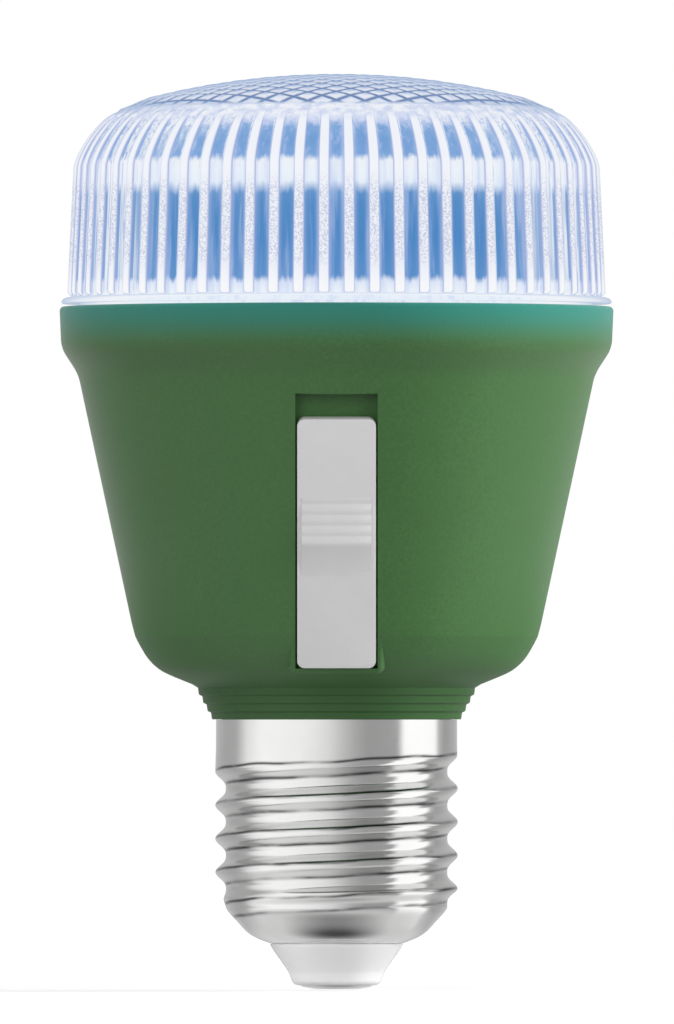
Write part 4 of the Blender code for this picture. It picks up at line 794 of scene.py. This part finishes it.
class Nodes:
    """A short way to build a node tree."""

    def __init__(self, name):
        self.material = bpy.data.materials.new(name)
        self.material.use_nodes = True
        self.tree = self.material.node_tree
        self.shader = self.tree.nodes["Principled BSDF"]
        self.out = self.tree.nodes["Material Output"]

    def add(self, kind, **values):
        node = self.tree.nodes.new(kind)
        for key, value in values.items():
            setattr(node, key, value)
        return node

    def link(self, source, target):
        self.tree.links.new(source, target)

    def feed(self, value, socket):
        """Sets a number or a colour, or links another socket."""
        if isinstance(value, float):
            socket.default_value = value
        elif isinstance(value, tuple):
            socket.default_value = (*value, 1.0)
        else:
            self.link(value, socket)

    def put(self, name, value):
        """Feeds a socket of the main shader."""
        self.feed(value, self.shader.inputs[name])

    def place(self):
        return self.add("ShaderNodeTexCoord").outputs["Object"]

    def attribute(self, name):
        return self.add("ShaderNodeAttribute", attribute_name=name).outputs["Fac"]

    def height(self):
        node = self.add("ShaderNodeSeparateXYZ")
        self.link(self.place(), node.inputs["Vector"])
        return node.outputs["Z"]

    def gradient(self, kind):
        node = self.add("ShaderNodeTexGradient", gradient_type=kind)
        self.link(self.place(), node.inputs["Vector"])
        return node.outputs["Fac"]

    def stretched(self, across, along):
        """Object position scaled apart across and along Z, for streaks."""
        node = self.add("ShaderNodeMapping")
        node.inputs["Scale"].default_value = (across, across, along)
        self.link(self.place(), node.inputs["Vector"])
        return node.outputs["Vector"]

    def noise(self, scale, detail=3.0, place=None, roughness=0.5):
        node = self.add("ShaderNodeTexNoise")
        node.inputs["Scale"].default_value = scale
        node.inputs["Detail"].default_value = detail
        node.inputs["Roughness"].default_value = roughness
        self.link(place or self.place(), node.inputs["Vector"])
        return node.outputs["Fac"]

    def ramp(self, source, low, high, start=0.3, end=0.7):
        """Straight step from low to high between two values of the source."""
        node = self.add("ShaderNodeMapRange")
        node.inputs["From Min"].default_value = start
        node.inputs["From Max"].default_value = end
        node.inputs["To Min"].default_value = low
        node.inputs["To Max"].default_value = high
        self.link(source, node.inputs["Value"])
        return node.outputs["Result"]

    def smooth(self, source, start, end, low=0.0, high=1.0):
        """Soft step from low to high between two values of the source."""
        result = self.ramp(source, low, high, start, end)
        result.node.interpolation_type = "SMOOTHSTEP"
        return result

    def maths(self, operation, first, second):
        node = self.add("ShaderNodeMath", operation=operation)
        self.feed(first, node.inputs[0])
        self.feed(second, node.inputs[1])
        return node.outputs[0]

    def times(self, first, second):
        return self.maths("MULTIPLY", first, second)

    def mix_colour(self, factor, first, second):
        node = self.add("ShaderNodeMix", data_type="RGBA")
        self.link(factor, node.inputs["Factor"])
        self.feed(first, node.inputs["A"])
        self.feed(second, node.inputs["B"])
        for socket in node.outputs:
            if socket.type == "RGBA":
                return socket

    def stops(self, source, colours):
        """Colours at given places of the source, which runs from 0 to 1."""
        node = self.add("ShaderNodeValToRGB")
        ramp = node.color_ramp
        while len(ramp.elements) < len(colours):
            ramp.elements.new(0.5)
        for element, (position, colour) in zip(ramp.elements, colours):
            element.position = position
            element.color = (*colour, 1.0)
        self.link(source, node.inputs["Fac"])
        return node.outputs["Color"]

    def bump(self, height, strength, distance):
        node = self.add("ShaderNodeBump")
        node.inputs["Strength"].default_value = strength
        node.inputs["Distance"].default_value = distance
        self.link(height, node.inputs["Height"])
        return node.outputs["Normal"]

    def emission(self, colour, strength=1.0):
        node = self.add("ShaderNodeEmission")
        self.feed(colour, node.inputs["Color"])
        self.feed(strength, node.inputs["Strength"])
        return node.outputs[0]

    def transparent(self, colour=(1.0, 1.0, 1.0)):
        node = self.add("ShaderNodeBsdfTransparent")
        self.feed(colour, node.inputs["Color"])
        return node.outputs[0]

    def finish(self, shader):
        """Makes a shader the material's surface."""
        self.link(shader, self.out.inputs["Surface"])
        return self.material


def mix_shaders(tree, factor, first, second):
    node = tree.nodes.new("ShaderNodeMixShader")
    for source, socket in zip((factor, first, second), node.inputs):
        tree.links.new(source, socket)
    return node.outputs[0]


def plain(name, colour, roughness, metallic=0.0, spread=0.06, grain=900.0, bump=0.15):
    """A surface with slight colour and roughness variation and a fine grain."""
    n = Nodes(name)
    cloud = n.noise(grain * 0.25, 3.0)
    dark = tuple(c * (1 - spread) for c in colour)
    light = tuple(min(1.0, c * (1 + spread)) for c in colour)
    n.put("Base Color", n.mix_colour(n.ramp(cloud, 0.0, 1.0), dark, light))
    fine = n.noise(grain, 2.0)
    n.put("Roughness", n.ramp(fine, roughness * 0.9, min(1.0, roughness * 1.1)))
    n.put("Normal", n.bump(fine, bump, 0.00004))
    n.put("Metallic", metallic)
    return n.material


def green_material():
    """Fine-grained matt moulding, with painted blue-green light from the lit lens on the rim and painted
    shade on the neck.
    """
    n = Nodes("green_matt")
    fine = n.noise(2600.0, 3.0, roughness=0.7)
    cloud = n.noise(160.0, 3.0)
    base = n.mix_colour(n.ramp(cloud, 0.0, 1.0), (0.045, 0.126, 0.035), (0.049, 0.136, 0.039))
    speck = n.mix_colour(n.ramp(fine, 0.0, 1.0, 0.35, 0.65), (0.037, 0.109, 0.029), base)
    # Painted shade: the neck under the corner is made darker.
    neck = n.smooth(n.height(), *NECK_PAINTED_SHADE, 0.0, 0.8)
    speck = n.mix_colour(neck, speck, (0.026, 0.082, 0.020))
    # Painted light: the rim next to the lit lens is tinted blue-green as if lit by it.
    painted_lens_light = n.smooth(n.height(), *RIM_PAINTED_LENS_LIGHT)
    n.put("Base Color", n.mix_colour(painted_lens_light, speck, (0.018, 0.190, 0.150)))
    n.put("Roughness", n.ramp(fine, 0.5, 0.62))
    n.put("Normal", n.bump(fine, 0.35, 0.00005))
    n.put("Specular IOR Level", 0.4)
    n.put("Sheen Weight", n.smooth(n.height(), *CONE_SHEEN, 0.0, 0.25))
    n.put("Sheen Roughness", 0.4)
    return n.material


def nickel_material():
    """Bright rolled shell, with thin painted dark reflection lines along the thread's flanks."""
    n = Nodes("bright_nickel")
    cloud = n.noise(220.0, 4.0)
    uneven = n.noise(1.0, 3.0, n.stretched(150.0, 400.0))
    metal = n.mix_colour(n.ramp(cloud, 0.0, 1.0), (0.71, 0.71, 0.705), (0.75, 0.75, 0.745))
    # Painted reflection: thin dark lines along the thread's flanks.
    line = n.times(n.attribute("flank"), n.ramp(uneven, 0.32, 1.0, 0.38, 0.58))
    n.put("Base Color", n.mix_colour(line, metal, (0.04, 0.04, 0.04)))
    n.put("Roughness", n.ramp(n.noise(1500.0, 3.0), 0.11, 0.15))
    n.put("Normal", n.bump(cloud, 0.08, 0.00006))
    n.put("Metallic", 1.0)
    return n.material


# Colours of the lens's gaps from the flange (0) to the top (1)
GAP_COLOURS = (
    (0.0, (0.90, 0.94, 1.0)),
    (0.04, (0.95, 0.97, 1.0)),
    (0.080, (0.86, 0.90, 1.0)),
    (0.104, (0.115, 0.295, 0.61)),
    (0.28, (0.078, 0.258, 0.570)),
    (0.46, (0.100, 0.280, 0.585)),
    (0.508, (0.90, 0.94, 1.0)),
    (0.603, (1.0, 1.0, 1.0)),
    (0.626, (0.22, 0.40, 0.72)),
    (0.745, (0.16, 0.35, 0.67)),
    (0.770, (0.62, 0.69, 0.93)),
    (0.80, (0.83, 0.87, 0.98)),
    (1.0, (0.88, 0.91, 0.99)),
)


def gap_colour(n, height, streak, ragged, steep):
    """Between the ribs: white foot, blue wall, white band, blue, then the pale shoulder."""
    level = n.ramp(height, 0.0, 1.0, *LENS_SPAN)
    level = n.maths("ADD", level, n.ramp(ragged, -0.014, 0.014))
    gap = n.stops(level, GAP_COLOURS)
    gap = n.mix_colour(n.ramp(streak, 0.0, 0.5, 0.50, 0.72), gap, (0.42, 0.55, 0.88))
    spill = n.ramp(n.noise(1.0, 1.0, n.stretched(240.0, 12.0)), 0.12, 0.75, 0.42, 0.60)
    gap = n.mix_colour(n.times(n.attribute("flare"), spill), gap, (0.50, 0.60, 0.91))
    # Painted reflection: the gaps turn white where the lens is seen at a grazing angle.
    return n.mix_colour(steep, gap, (0.94, 0.965, 1.0))


def rib_colour(n, height, rib, grain):
    """Pale core with lavender sides, a fine frost on the straight part and a white foot."""
    core = n.smooth(rib, 0.30, 0.80)
    pale = n.mix_colour(core, (0.38, 0.45, 0.75), (0.93, 0.95, 1.0))
    frosted = n.times(n.smooth(height, *FROST_BEGIN), n.smooth(height, *FROST_END))
    frost = n.times(n.ramp(grain, 1.0, 0.0, 0.42, 0.54), n.times(frosted, 0.62))
    pale = n.mix_colour(frost, pale, (0.42, 0.47, 0.68))
    foot = n.smooth(height, *WHITE_FOOT)
    return n.mix_colour(n.times(foot, core), pale, (0.97, 0.98, 1.0))


def shoulder_colour(n, tone, height, rib, facing):
    """Thin upright lines towards the sides, and an uneven haze near the crown."""
    thread = n.noise(1.0, 2.0, n.stretched(3600.0, 45.0))
    lines = n.times(n.ramp(thread, 0.0, 0.85, 0.55, 0.62), n.smooth(facing, 0.12, 0.5))
    lines = n.times(lines, n.smooth(height, *LINES_BEGIN))
    lines = n.times(lines, n.smooth(rib, 0.75, 0.35))
    tone = n.mix_colour(lines, tone, (0.37, 0.46, 0.77))
    cloud = n.ramp(n.noise(900.0, 3.0), 0.0, 1.0, 0.4, 0.6)
    haze = n.mix_colour(cloud, (0.66, 0.73, 0.93), (0.93, 0.95, 1.0))
    return n.mix_colour(n.smooth(height, *SHOULDER_HAZE, 0.0, 0.85), tone, haze)


def crown_colour(n, ragged):
    """White cells with thin grey-blue lines."""
    cell = n.mix_colour(n.ramp(ragged, 0.0, 1.0), (0.76, 0.81, 0.96), (0.95, 0.97, 1.0))
    return n.mix_colour(n.ramp(n.attribute("groove"), 0.0, 1.0, 0.0, 0.34), cell, (0.16, 0.24, 0.45))


def lens_material():
    """Clear moulding lit from inside: ribs and shoulder hold white light, the gaps are blue."""
    n = Nodes("lit_clear_plastic")
    height = n.height()
    rib = n.attribute("rib")
    facing = n.add("ShaderNodeLayerWeight").outputs["Facing"]
    grain = n.noise(5000.0, 2.0, roughness=0.7)
    streak = n.noise(1.0, 3.0, n.stretched(1300.0, 60.0))
    ragged = n.noise(1.0, 3.0, n.stretched(1500.0, 260.0))
    # How far the lens is seen at a grazing angle, with streaks; it carries the painted white reflection
    # and makes the gaps opaque.
    steep = n.maths("ADD", n.smooth(facing, 0.24, 0.48), n.ramp(streak, -0.35, 0.1, 0.35, 0.65))
    steep = n.times(n.maths("MINIMUM", n.maths("MAXIMUM", steep, 0.0), 1.0), 0.9)

    gap = gap_colour(n, height, streak, ragged, steep)
    tone = n.mix_colour(n.smooth(rib, 0.08, 0.42), gap, rib_colour(n, height, rib, grain))
    tone = shoulder_colour(n, tone, height, rib, facing)
    tone = n.mix_colour(n.smooth(height, *CROWN_BEGIN), tone, crown_colour(n, ragged))
    # Painted shade: a dark blue edge where the crown turns away from view.
    edge = n.times(n.smooth(facing, 0.52, 0.95, 0.0, 0.95), n.smooth(height, *CROWN_EDGE, 0.5, 1.0))
    tone = n.mix_colour(edge, tone, (0.22, 0.38, 0.68))

    held = n.maths("MAXIMUM", n.smooth(rib, 0.02, 0.30), n.smooth(height, *SHOULDER_SOLID))
    held = n.ramp(n.maths("MAXIMUM", held, steep), 0.76, 0.97, 0.0, 1.0)
    body = mix_shaders(n.tree, held, n.transparent((0.72, 0.86, 0.98)), n.emission(tone, 0.96))
    gloss = n.add("ShaderNodeBsdfGlossy")
    n.feed((0.90, 0.94, 1.0), gloss.inputs["Color"])
    n.link(n.ramp(grain, 0.06, 0.12), gloss.inputs["Roughness"])
    n.link(n.bump(grain, 0.2, 0.00004), gloss.inputs["Normal"])
    fresnel = n.add("ShaderNodeFresnel")
    fresnel.inputs["IOR"].default_value = 1.45
    return n.finish(mix_shaders(n.tree, n.times(fresnel.outputs[0], 0.35), body, gloss.outputs[0]))


def led_material(name, colour, strength):
    n = Nodes(name)
    darker = tuple(0.8 * c for c in colour)
    n.put("Emission Color", n.mix_colour(n.ramp(n.noise(2500.0, 1.0), 0.0, 1.0), darker, colour))
    n.put("Base Color", colour)
    n.put("Emission Strength", strength)
    return n.material


# The object


def dress(node, material):
    data = frame["nodes"][node].data
    data.materials.clear()
    data.materials.append(material)


def stand_for(item, node, body, material):
    """Puts a finer mesh in the place of a CAD node."""
    item.data.materials.clear()
    item.data.materials.append(material)
    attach(item, body)
    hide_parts(node)
    return item


steel = plain("dull_plate", (0.80, 0.80, 0.795), 0.35, metallic=1.0)
stand_for(make_shell(), "screw_shell", "bulb", nickel_material())
stand_for(make_housing(), "housing", "bulb", green_material())
stand_for(make_lens(), "lens_cover", "bulb", lens_material())
slider_grey = plain("slider_grey", (0.65, 0.65, 0.65), 0.45, spread=0.012, grain=2400.0, bump=0.2)
stand_for(make_slider(), "mode_slider", "slider", slider_grey)
pale = plain("pale_gloss", (0.80, 0.80, 0.805), 0.10, spread=0.03, grain=500.0, bump=0.04)
pale.node_tree.nodes["Principled BSDF"].inputs["IOR"].default_value = 2.6
stand_for(make_insulator(), "base_insulator", "bulb", pale)
stand_for(make_contact(), "centre_contact", "bulb", steel)

finishes = {
    "seal_rubber": plain("seal_grey", (0.60, 0.60, 0.60), 0.7),
    "contact_metal": steel,
    "black_plastic": plain("black_moulding", (0.02, 0.02, 0.02), 0.45),
    "contact_brass": plain("brass_stamping", (0.62, 0.45, 0.20), 0.3, metallic=1.0),
    "switch_plate": plain("pressed_board", (0.24, 0.13, 0.06), 0.6),
    "green_board": plain("lacquered_board", (0.02, 0.11, 0.05), 0.4),
    "spreader_metal": plain("spreader_plate", (0.65, 0.66, 0.67), 0.4, metallic=1.0),
    "white_board": plain("white_lacquer", (0.80, 0.82, 0.85), 0.45),
    "capacitor_sleeve": plain("capacitor_blue", (0.03, 0.05, 0.14), 0.3),
    "film_block": plain("film_red", (0.45, 0.08, 0.05), 0.35),
    "ferrite_core": plain("ferrite_black", (0.05, 0.05, 0.05), 0.7),
    "copper_coil": plain("copper_wire", (0.70, 0.30, 0.15), 0.3, metallic=1.0),
    "resistor_body": plain("resistor_teal", (0.10, 0.28, 0.32), 0.5),
    "red_wire": plain("wire_red", (0.50, 0.03, 0.03), 0.4),
    "black_wire": plain("wire_black", (0.03, 0.03, 0.03), 0.4),
    "blue_led": led_material("led_blue", (0.25, 0.50, 1.0), 1.5),
    "red_led": led_material("led_red", (1.0, 0.25, 0.30), 1.2),
}
for row in frame["record"]["subparts"]:
    finish = finishes.get(row["material_slot"])
    if finish and not frame["nodes"][row["node"]].hide_render:
        dress(row["node"], finish)


# Studio, in metres

WHITE = (1.0, 1.0, 1.0)
FLOOR_HALF = 3.0
FLOOR_Z = -0.0002
CARD_Z = -0.00015
CARD_R = 0.449
CARD_EVEN_R = 0.011
CARD_FADED_R = 0.024
SURROUND_R = 0.45
SURROUND_LOW_Z = -0.0002
SURROUND_TOP_Z = 0.6


def seen_directly(tree):
    """1 for rays from the camera, from gloss and through clear surfaces."""
    path = tree.nodes.new("ShaderNodeLightPath")
    result = path.outputs["Is Camera Ray"]
    for name in ("Is Glossy Ray", "Is Transmission Ray"):
        larger = tree.nodes.new("ShaderNodeMath")
        larger.operation = "MAXIMUM"
        tree.links.new(result, larger.inputs[0])
        tree.links.new(path.outputs[name], larger.inputs[1])
        result = larger.outputs[0]
    return result


def floor_material():
    """Grey where it only gives light back; where it is seen, a glow makes it white."""
    n = Nodes("white_floor")
    cloud = n.noise(6.0, 3.0)
    n.put("Base Color", n.mix_colour(n.ramp(cloud, 0.0, 1.0), (0.40, 0.40, 0.40), (0.42, 0.42, 0.42)))
    n.put("Roughness", n.ramp(cloud, 0.85, 0.95))
    n.put("Specular IOR Level", 0.1)
    near = n.smooth(n.gradient("SPHERICAL"), 0.65, 0.95, 0.90, 0.58)
    glow = mix_shaders(n.tree, seen_directly(n.tree), n.emission(WHITE, 0.0), n.emission(WHITE, near))
    both = n.add("ShaderNodeAddShader")
    n.link(n.shader.outputs[0], both.inputs[0])
    n.link(glow, both.inputs[1])
    return n.finish(both.outputs[0])


def make_floor():
    corners = ((-1, -1), (1, -1), (1, 1), (-1, 1))
    places = [(FLOOR_HALF * x, FLOOR_HALF * y, FLOOR_Z) for x, y in corners]
    mesh = bpy.data.meshes.new("floor")
    mesh.from_pydata(places, [], [(0, 1, 2, 3)])
    floor = bpy.data.objects.new("floor", mesh)
    scene.collection.objects.link(floor)
    mesh.materials.append(floor_material())


def make_world(seen_level, light_level):
    """White where it is seen, and a weaker light from all sides."""
    world = bpy.data.worlds.new("studio")
    scene.world = world
    world.use_nodes = True
    tree = world.node_tree
    tree.nodes.clear()
    shaders = []
    for level in (light_level, seen_level):
        sky = tree.nodes.new("ShaderNodeBackground")
        sky.inputs["Color"].default_value = (*WHITE, 1.0)
        sky.inputs["Strength"].default_value = level
        shaders.append(sky.outputs[0])
    out = tree.nodes.new("ShaderNodeOutputWorld")
    tree.links.new(mix_shaders(tree, seen_directly(tree), *shaders), out.inputs["Surface"])


def softbox(name, azimuth, elevation, distance, width, height, power, aim=0.05):
    """An area light that looks at the bulb. Azimuth 0 is the camera's side, positive to the right."""
    data = bpy.data.lights.new(name, "AREA")
    data.shape = "RECTANGLE"
    data.size = width
    data.size_y = height
    data.energy = power
    item = bpy.data.objects.new(name, data)
    scene.collection.objects.link(item)
    a = math.radians(azimuth)
    e = math.radians(elevation)
    way = Vector((math.sin(a) * math.cos(e), -math.cos(a) * math.cos(e), math.sin(e)))
    item.location = Vector((0.0, 0.0, aim)) + way * distance
    item.rotation_euler = (-way).to_track_quat("-Z", "Y").to_euler()
    item.visible_glossy = False
    return item


make_floor()
make_world(1.0, 0.34)
softbox("key", -18, 24, 0.8, 0.5, 0.5, 2.3)
softbox("fill", 45, 14, 0.9, 0.4, 0.5, 2.3)
softbox("left_strip", -105, 30, 0.6, 0.15, 0.4, 1.3, aim=0.06)
softbox("right_strip", 95, 15, 0.6, 0.15, 0.5, 4.9)
low_fill = softbox("low_fill", -32, 3, 0.15, 0.03, 0.01, 0.0008, aim=0.003)
low_fill.data.spread = math.radians(14)


def only_reflected(item):
    item.visible_camera = False
    item.visible_diffuse = False
    item.visible_transmission = False
    item.visible_shadow = False


# Brightness of the studio by azimuth: a wide panel at the left, a strip at the right
PANELS = (
    (-180, 0.60),
    (-130, 0.47),
    (-112, 0.50),
    (-94, 1.00),
    (-74, 1.22),
    (-36, 1.15),
    (-20, 1.05),
    (-8, 0.93),
    (4, 0.71),
    (16, 0.52),
    (30, 0.41),
    (60, 0.44),
    (68, 1.35),
    (107, 1.35),
    (115, 0.60),
    (125, 0.43),
    (180, 0.60),
)


def panel_light(n, turns):
    """Half the light of the panels; the object's own X points at the camera."""
    around = n.maths("ADD", n.gradient("RADIAL"), n.ramp(n.noise(5.0, 2.0), -0.004, 0.004))
    colours = []
    for azimuth, level in PANELS:
        colours.append((azimuth * turns / 360 + 0.5, (level / 2, level / 2, level / 2)))
    return n.stops(around, colours)


def make_surround():
    """Ring round the bulb that only gloss sees. Its own X points at the camera."""
    bm = bmesh.new()
    low = level_ring(bm, SURROUND_R / MM, SURROUND_LOW_Z / MM, 96)
    high = level_ring(bm, SURROUND_R / MM, SURROUND_TOP_Z / MM, 96)
    join_rings(bm, low, high)
    item = add_object("studio_surround", bm)
    item.rotation_euler = (0.0, 0.0, math.radians(-90))
    n = Nodes("studio_panels")
    item.data.materials.append(n.finish(n.emission(panel_light(n, 1.0), 2.0)))
    only_reflected(item)


def make_disc(name, place, half_x, half_y):
    """Flat oval. Its mesh has a radius of 1 m, so that a ball gradient ends at its edge."""
    bm = bmesh.new()
    bm.faces.new(level_ring(bm, 1 / MM, 0.0, 48))
    item = add_object(name, bm)
    item.location = place
    item.scale = (half_x, half_y, 1.0)
    return item


def make_floor_card():
    """What gloss sees of the floor: even near the bulb, with the panels' light further out."""
    item = make_disc("floor_card", (0.0, 0.0, CARD_Z), CARD_R, CARD_R)
    item.rotation_euler = (0.0, 0.0, math.radians(-90))
    n = Nodes("floor_card")
    near = n.smooth(n.gradient("SPHERICAL"), 1 - CARD_FADED_R / CARD_R, 1 - CARD_EVEN_R / CARD_R)
    tone = n.mix_colour(near, panel_light(n, 0.85), (0.38, 0.38, 0.38))
    item.data.materials.append(n.finish(n.emission(tone, 2.0)))
    only_reflected(item)


def make_shade(name, half_x, half_y, place, level, edge):
    """Flat oval card, only reflected: dark in its middle and fading out to its edge."""
    item = make_disc(name, place, half_x, half_y)
    n = Nodes(name)
    cover = n.smooth(n.gradient("SPHERICAL"), 0.0, edge)
    cloud = n.ramp(n.noise(4.0, 2.0), 0.0, 1.0)
    tone = n.mix_colour(cloud, (0.9 * level,) * 3, (1.1 * level,) * 3)
    card = mix_shaders(n.tree, cover, n.transparent(), n.emission(tone))
    item.data.materials.append(n.finish(card))
    only_reflected(item)


make_surround()
make_shade("shade_above", SURROUND_R, SURROUND_R, (0.0, 0.0, SURROUND_TOP_Z), 0.25, 0.2)
make_floor_card()
# shade_below is a painted shadow: a dark oval under the bulb's contact, seen only in the metal's
# reflections.
make_shade("shade_below", 0.011, 0.008, (0.0, -0.008, -0.0001), 0.08, 0.9)

# Camera at the photo's place: far away, a little above the base
FAR = 2.8
EYE_Z = 0.029
AXIS_X = 0.00005
SENSOR = 36.0
PIXEL = 9.233
PHOTO_HEIGHT = 1024
PHOTO_MIDDLE_ROW = 512
PHOTO_FOOT_ROW = 989


def make_camera():
    data = bpy.data.cameras.new("camera")
    camera = bpy.data.objects.new("camera", data)
    scene.collection.objects.link(camera)
    scene.camera = camera
    data.sensor_width = SENSOR
    data.lens = SENSOR * FAR / (PHOTO_HEIGHT / PIXEL * MM)
    data.clip_start = 0.05
    data.clip_end = 50.0
    eye = Vector((AXIS_X, -FAR, EYE_Z))
    aim = Vector((AXIS_X, 0.0, (PHOTO_FOOT_ROW - PHOTO_MIDDLE_ROW) / PIXEL * MM))
    camera.location = eye
    camera.rotation_euler = (aim - eye).to_track_quat("-Z", "Y").to_euler()


make_camera()
scene.view_settings.view_transform = "Standard"
